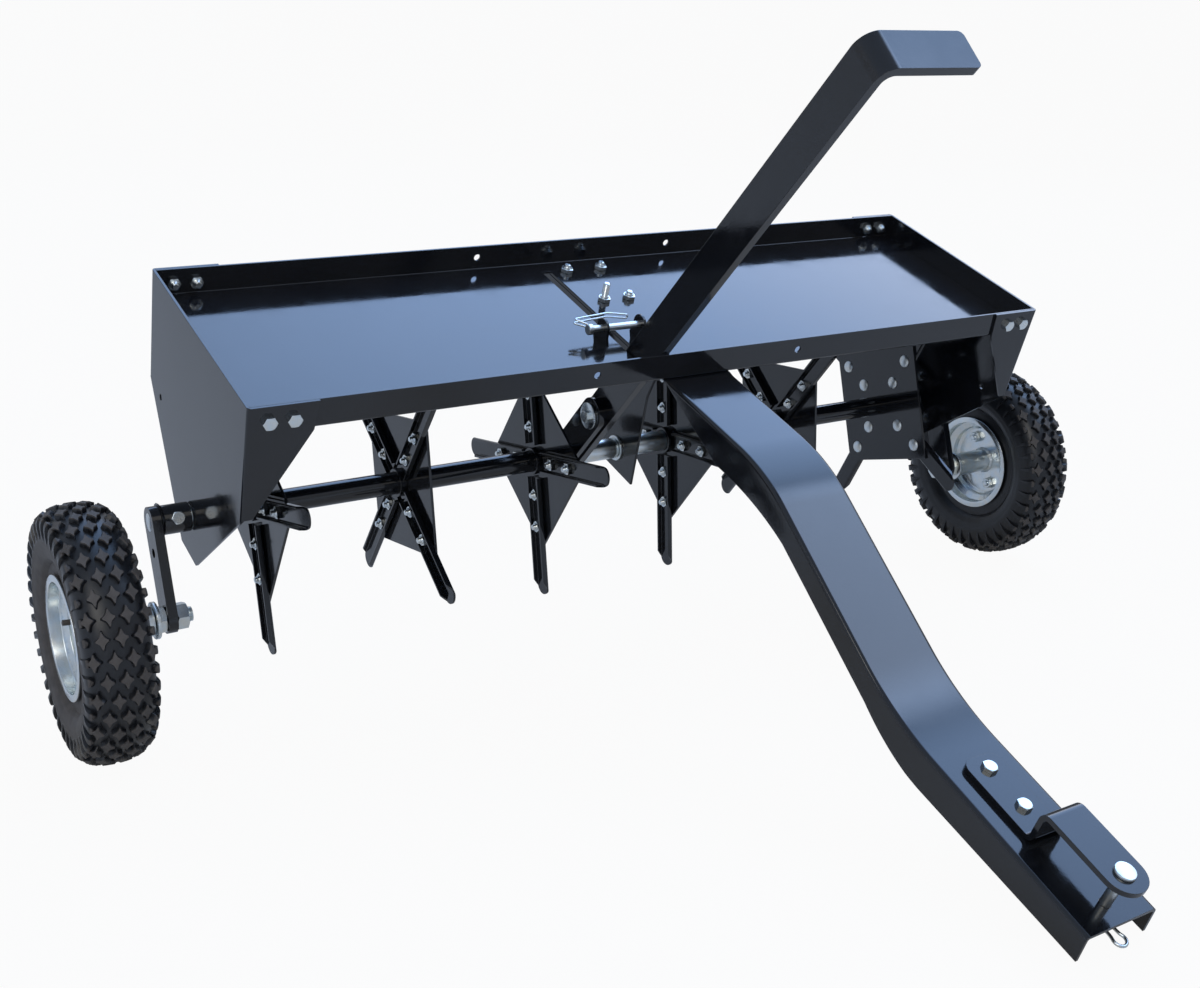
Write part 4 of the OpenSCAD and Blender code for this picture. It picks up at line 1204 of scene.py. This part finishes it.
class MakeGangs(bpy.types.Operator):
    """Build the two tine gangs: tubes, square plates, troughs and their bolts"""

    bl_idname = "aerator.gangs"
    bl_label = "Tine gangs"

    def execute(self, context):
        tine = self.trough()
        dome = self.carriage_head()
        end = Shape().add(*threaded(7, -1, 14.6, 1.2, 16)).make("end")
        nut = nut_shape(7, 5.8, 1.4, 1.76).make("nut")
        for side in SPIDERS:
            body = "gang_" + side
            for node, look in (
                ("gang_tube_", "paint"), ("collars_", "paint"),
                ("tine_plates_", "paint"), ("gang_bushes_", "turned zinc"),
            ):
                dress(node + side, node + side + "_made", body, look, 0.5)
            heads = tine_bolt_spots(side, 3.0)
            backs = tine_bolt_spots(side, -2.5)
            for name, source, spots, look, node, sharp in (
                ("tine_troughs_", tine, tine_spots(side), "paint", "tines_", 38),
                ("carriage_heads_", dome, heads, "satin zinc", "tine_bolts_", 50),
                ("carriage_ends_", end, heads, "zinc", None, 30),
                ("tine_lock_nuts_", nut, backs, "zinc", "tine_nuts_", 30),
            ):
                stands_for = (node + side,) if node else ()
                seat_copies(name + side, source, spots, body, look, stands_for, sharp)
        for source in (tine, dome, end, nut):
            drop(source)
        return {"FINISHED"}

    def carriage_head(self):
        """The low domed head of a carriage bolt."""
        radius, height = 8.0, 3.7
        profile = [(0, 0.05), (0, radius)]
        for degrees in range(12, 90, 11):
            a = math.radians(degrees)
            profile.append((-height * math.sin(a), radius * math.cos(a)))
        profile.append((-height, 0.05))
        return Shape().add(*lathe(profile, 28), UPRIGHT).make("dome")

    def trough(self):
        """One tine: a folded trough cut back to a rounded nose."""
        fold, sheet, half, deep = 3.4, 2.5, 12.0, 7.6
        inner = fold - sheet
        section = [(-deep, -half)] + arc(-fold, -half + fold, fold, 270, 360, 5)
        section += arc(-fold, half - fold, fold, 0, 90, 5) + [(-deep, half), (-deep, half - sheet)]
        section += arc(-sheet - inner, half - sheet - inner, inner, 90, 0, 3)
        section += arc(-sheet - inner, -half + sheet + inner, inner, 0, -90, 3)
        section += [(-deep, -half + sheet)]
        piece = Shape().add(*prism(section, 20, 164, "z")).make("trough")
        tip, shoulder, margin = 163, 148, 2
        nose = [(-half - margin, 10), (half + margin, 10), (half + margin, shoulder)]
        nose += arc(0, tip - half, half, 0, 180, 16) + [(-half - margin, shoulder)]
        cut(piece, Shape().add(*prism(nose, -20, 8)), "INTERSECT")
        wedge = [(-9.5, 143), (-2.5, 154), (-2.5, 170), (-9.5, 170)]
        cut(piece, Shape().add(*prism(wedge, -15, 15, "y")))
        ease_edges(piece, 0.35, 2, 40)
        return piece


class MakeWheels(bpy.types.Operator):
    """Build the pressed rims, hubs, bearings, wheel bolts and valves"""

    bl_idname = "aerator.wheels"
    bl_label = "Rims and hubs"

    def execute(self, context):
        bolt = bolt_shape(8, 13.3).make("bolt")
        nut = nut_shape(8, 6.4).make("nut")
        for side, s in SIDES.items():
            body = "wheel_" + side
            for node, look in (
                ("rim_outer_", "pressed zinc"), ("rim_inner_", "pressed zinc"),
                ("hub_", "turned zinc"), ("bearings_", "turned zinc"),
            ):
                dress(node + side, node + side + "_formed", body, look, 0.7, 3, 24, 50)
            bolt_circle = 34
            holes = [
                wheel_hub(s) @ turned("X", 45 + 90 * i) @ at(0, 0, bolt_circle, ("Y", -90 * s))
                for i in range(4)
            ]
            for name, source, node, shift in (
                ("wheel_bolts_", bolt, "rim_bolts_", -2.2), ("wheel_nuts_", nut, "rim_nuts_", 2.2),
            ):
                spots = [hole @ at(0, 0, shift) for hole in holes]
                seat_copies(name + side, source, spots, body, "zinc", (node + side,), 30)
            beads = Shape()
            for way in BOTH:
                leg = 1.6 if way == s else 2.8
                beads.add(*weld_ring(way * 2.2, 15.5, leg, way), wheel_hub(s))
            seat(beads.make("beads"), "hub_weld_runs_" + side, body, "dull zinc")
            self.valve(side, s)
        drop(bolt)
        drop(nut)
        return {"FINISHED"}

    def valve(self, side, s):
        """A rubber valve stem in the outer rim half."""
        radius, turn = 46, 0.6
        spot = at(10, radius * math.sin(turn), radius * math.cos(turn), ("Y", -8))
        stem = Shape().add(*lathe([
            (0, 0.05), (0, 4.2), (5, 3.6), (9, 2.6), (17, 2.5), (17, 2.9), (24, 2.9),
            (24.5, 2.2), (24.5, 0.05),
        ], 24), wheel_centre(s) @ spot)
        seat(stem.make("valve"), "tyre_valve_" + side, "wheel_" + side, "carcass")


class MakeTyres(bpy.types.Operator):
    """Build the tyres: carcass, star lugs and shoulder bars"""

    bl_idname = "aerator.tyres"
    bl_label = "Tyres"

    def execute(self, context):
        style = context.scene.aerator_tyres
        section = Carcass(style)
        high = style.lug_height
        count = style.lugs
        foot = 0.8
        star = self.star(style.lug_length / 2, style.lug_width / 2, high + foot)
        fin = self.shoulder_fin(section.skin, high)
        stars = []
        for row in range(-3, 4):
            x, r, slope = section.tread_spot(row * style.row_pitch)
            for k in range(count):
                around = turned("X", 360 / count * (k + 0.5 * (row % 2)))
                stars.append(around @ at(x, 0, r - foot, ("Y", slope)))
        fins = [
            turned("X", 180 / count * k) @ turned("Z", turn)
            for k in range(2 * count) for turn in (0, 180)
        ]
        for side, s in SIDES.items():
            body = "wheel_" + side
            hub = wheel_hub(s)
            carcass = Shape().add(*lathe(section.outline(), 144), hub).make("carcass")
            seat(carcass, "tyre_carcass_" + side, body, "carcass", ("tyre_" + side,), 45)
            for name, source, spots, sharp in (
                ("tread_stars_", star, stars, 30), ("tread_fins_", fin, fins, 35),
            ):
                seat_copies(name + side, source, [hub @ m for m in spots], body, "tread", (), sharp)
        drop(star)
        drop(fin)
        return {"FINISHED"}

    def star(self, long, wide, high):
        """A four-pointed lug with hollow sides and drafted walls."""
        # One quarter of its outline, as shares of its half sizes
        quarter = ((1.0, -0.09), (1.0, 0.09), (0.7, 0.23), (0.48, 0.36), (0.36, 0.48), (0.23, 0.7))
        rings = []
        for z, grow in ((0, 1.16), (high - 0.6, 1.0), (high, 0.93)):
            rings.append([
                (wide * grow * (u * c - v * k), long * grow * (u * k + v * c), z)
                for c, k in ((1, 0), (0, 1), (-1, 0), (0, -1)) for u, v in quarter
            ])
        piece = Shape().add(*sweep(rings)).make("star")
        mark_worn(piece, high - 1.0)
        return piece

    def shoulder_fin(self, skin, high):
        """A lug at the tread's edge whose tail runs down the sidewall and fades out."""
        root = -1.0
        # Section angle in degrees, half width and rise over the carcass
        stations = (
            (49, 1.0, high * 0.5), (52, 3.6, high * 0.96), (57, 4.0, high * 0.95),
            (63, 3.1, high * 0.85), (70, 2.3, high * 0.66), (78, 1.8, high * 0.42),
            (86, 1.4, 0.9), (91, 1.0, 0.4),
        )
        rings = []
        for degrees, wide, rise in stations:
            t = math.radians(degrees)
            x, r = skin(t, root)
            xo, ro = skin(t, rise)
            crown = wide * 0.8
            rings.append([
                (x, -wide * 1.25, r), (xo, -wide, ro - 0.2), (xo, -crown, ro),
                (xo, crown, ro), (xo, wide, ro - 0.2), (x, wide * 1.25, r),
            ])
        piece = Shape().add(*sweep(rings)).make("fin")
        mark_worn(piece, skin(math.radians(stations[0][0]), root)[1] + 0.4)
        return piece


class MakeStage(bpy.types.Operator):
    """Lay the floor, light it softly and set the camera"""

    bl_idname = "aerator.stage"
    bl_label = "Floor, light and camera"

    def execute(self, context):
        scene = context.scene
        style = scene.aerator_stage
        scene.view_settings.view_transform = "Standard"
        self.floor(style)
        self.sky(scene, style)
        self.lamp()
        self.camera(scene, style)
        return {"FINISHED"}

    def floor(self, style):
        """A round floor in metres that sweeps up into a backdrop, so that no edge shows."""
        flat, sweep_r, top = 7, 2.4, 4.6
        profile = [(2, 0), (4, 0), (6, 0)] + arc(flat, sweep_r, sweep_r, -90, 0, 15)
        profile += [(flat + sweep_r, 3.4), (flat + sweep_r, top)]
        steps = 96
        verts = [(0, 0, 0)] + [(r * c, r * s, z) for r, z in profile for c, s in circle(steps)]
        faces = [(0, 1 + k, 1 + (k + 1) % steps) for k in range(steps)]
        for i in range(len(profile) - 1):
            low = 1 + i * steps
            high = low + steps
            for k in range(steps):
                n = (k + 1) % steps
                faces.append((low + k, high + k, high + n, low + n))
        mesh = bpy.data.meshes.new("floor")
        mesh.from_pydata(verts, [], faces)
        mesh.shade_smooth()
        mesh.materials.append(self.floor_finish(style))
        link("floor", mesh)

    def floor_finish(self, style):
        """Matt white card: near white to the eye and in reflections, with a light shadow kept."""
        finish, tree = new_finish("matt white floor")
        ray = add(tree, "ShaderNodeLightPath").outputs
        bounced = add(tree, "ShaderNodeMath", {
            0: ray["Is Glossy Ray"], 1: ray["Is Transmission Ray"],
        }, operation="ADD", use_clamp=True)
        mirrored = add(tree, "ShaderNodeMath", {
            0: bounced, 1: style.floor_mirrored,
        }, operation="MULTIPLY")
        direct = add(tree, "ShaderNodeMath", {
            0: ray["Is Camera Ray"], 1: style.floor_white,
        }, operation="MULTIPLY")
        share = add(tree, "ShaderNodeMath", {
            0: direct, 1: mirrored,
        }, operation="ADD", use_clamp=True)
        matt = add(tree, "ShaderNodeBsdfDiffuse", {"Color": opaque(style.floor_colour)})
        glow = add(tree, "ShaderNodeEmission", {"Color": (1, 1, 1, 1), "Strength": 1.0})
        both = add(tree, "ShaderNodeMixShader", {0: share, 1: matt, 2: glow})
        add(tree, "ShaderNodeOutputMaterial", {"Surface": both})
        return finish

    def sky(self, scene, style):
        """An open pale sky with a bright patch behind the machine, for the sheet's reflections."""
        world = bpy.data.worlds.new("soft sky")
        world.use_nodes = True
        tree = world.node_tree
        tree.nodes.clear()
        way = add(tree, "ShaderNodeTexCoord").outputs["Generated"]
        height = add(tree, "ShaderNodeSeparateXYZ", {"Vector": way}).outputs["Z"]
        ramps = []
        for stops in (
            ((0.0, "#D6D3CF"), (0.25, "#CFD4DC"), (0.6, "#B4C2D8"), (1.0, "#A9B9D2")),
            ((0.35, "#F4F6FF"), (0.62, "#A4C8FF"), (0.9, "#9CC6FF")),
        ):
            ramp = add(tree, "ShaderNodeValToRGB", {"Fac": height})
            marks = ramp.color_ramp.elements
            marks[0].position = stops[0][0]
            marks[1].position = stops[-1][0]
            for stop in stops[1:-1]:
                marks.new(stop[0])
            for mark, stop in zip(marks, stops):
                mark.color = linear(stop[1])
            ramps.append(ramp)
        open_sky, patch_colour = ramps
        sky = add(tree, "ShaderNodeBackground", {"Color": open_sky, "Strength": style.sky_strength})
        # Each patch fades in between two cosines of the angle to its middle
        for spot, low, high, strength, colour in (
            (style.patch_way, 0.74, 0.985, style.patch_strength, patch_colour),
            (style.cloud_way, 0.962, 0.995, style.cloud_strength, linear("#BCD6FF")),
        ):
            toward = add(tree, "ShaderNodeVectorMath", {
                0: way, 1: tuple(Vector(spot).normalized()),
            }, operation="DOT_PRODUCT")
            amount = add(tree, "ShaderNodeMapRange", {
                "Value": toward.outputs["Value"], "From Min": low, "From Max": high,
                "To Min": 0.0, "To Max": strength,
            }, interpolation_type="SMOOTHSTEP")
            patch = add(tree, "ShaderNodeBackground", {"Color": colour, "Strength": amount})
            sky = add(tree, "ShaderNodeAddShader", {0: sky, 1: patch})
        add(tree, "ShaderNodeOutputWorld", {"Surface": sky})
        scene.world = world

    def lamp(self):
        """One warm softbox in front, wide enough to leave no hard shadow."""
        light = bpy.data.lights.new("front softbox", "AREA")
        light.shape = "SQUARE"
        light.size = 2.4
        light.energy = 40.0
        light.color = (1.0, 0.95, 0.86)
        holder = link("front softbox", light)
        holder.location = (-2.2, -2.6, 2.8)
        aim = Vector((0, 0, 0.25)) - holder.location
        holder.rotation_euler = aim.to_track_quat("-Z", "Y").to_euler()

    def camera(self, scene, style):
        """The photograph's camera, found from points measured on the machine."""
        # Radians and metres in the machine's own frame
        yaw, pitch, roll = 0.649, 0.566, 0.210
        eye = STAND @ Vector((-0.9339, -1.2427, 0.9240))
        ahead = Vector((
            math.sin(yaw) * math.cos(pitch), math.cos(yaw) * math.cos(pitch), -math.sin(pitch),
        ))
        across = Vector((math.cos(yaw), -math.sin(yaw), 0))
        up = across.cross(ahead)
        level = math.cos(roll) * across + math.sin(roll) * up
        high = -math.sin(roll) * across + math.cos(roll) * up
        turn = STAND.to_3x3() @ Matrix((level, high, -ahead)).transposed()
        data = bpy.data.cameras.new("photograph camera")
        data.sensor_fit = "HORIZONTAL"
        data.sensor_width = 36.0
        data.lens = style.lens
        data.clip_start = 0.05
        data.clip_end = 60.0
        holder = link("photograph camera", data)
        holder.matrix_world = Matrix.Translation(eye) @ turn.to_4x4()
        scene.camera = holder


class AeratorPanel(bpy.types.Panel):
    """Lists the pieces in the 3D view's sidebar"""

    bl_idname = "VIEW3D_PT_aerator"
    bl_label = "Aerator"
    bl_space_type = "VIEW_3D"
    bl_region_type = "UI"
    bl_category = "Aerator"

    def draw(self, context):
        for settings in SETTINGS:
            group = getattr(context.scene, settings)
            for name in group.__annotations__:
                self.layout.prop(group, name)
        for operator in OPERATORS:
            self.layout.operator(operator.bl_idname)


OPERATORS = (
    MakeTray, MakeTongue, MakeHitch, MakeLock, MakeLever, MakeAxles, MakeFasteners,
    MakeGangs, MakeWheels, MakeTyres, MakeStage,
)
SETTINGS = {
    "aerator_paint": AeratorPaintSettings,
    "aerator_metal": AeratorMetalSettings,
    "aerator_tyres": AeratorTyreSettings,
    "aerator_stage": AeratorStageSettings,
}


def register():
    for name, group in SETTINGS.items():
        bpy.utils.register_class(group)
        setattr(bpy.types.Scene, name, bpy.props.PointerProperty(type=group))
    for kind in OPERATORS + (AeratorPanel,):
        bpy.utils.register_class(kind)


def unregister():
    for kind in reversed(OPERATORS + (AeratorPanel,)):
        bpy.utils.unregister_class(kind)
    for name, group in SETTINGS.items():
        delattr(bpy.types.Scene, name)
        bpy.utils.unregister_class(group)


def main():
    register()
    for operator in OPERATORS:
        getattr(bpy.ops.aerator, operator.bl_idname.split(".")[1])()


if __name__ == "__main__":
    main()
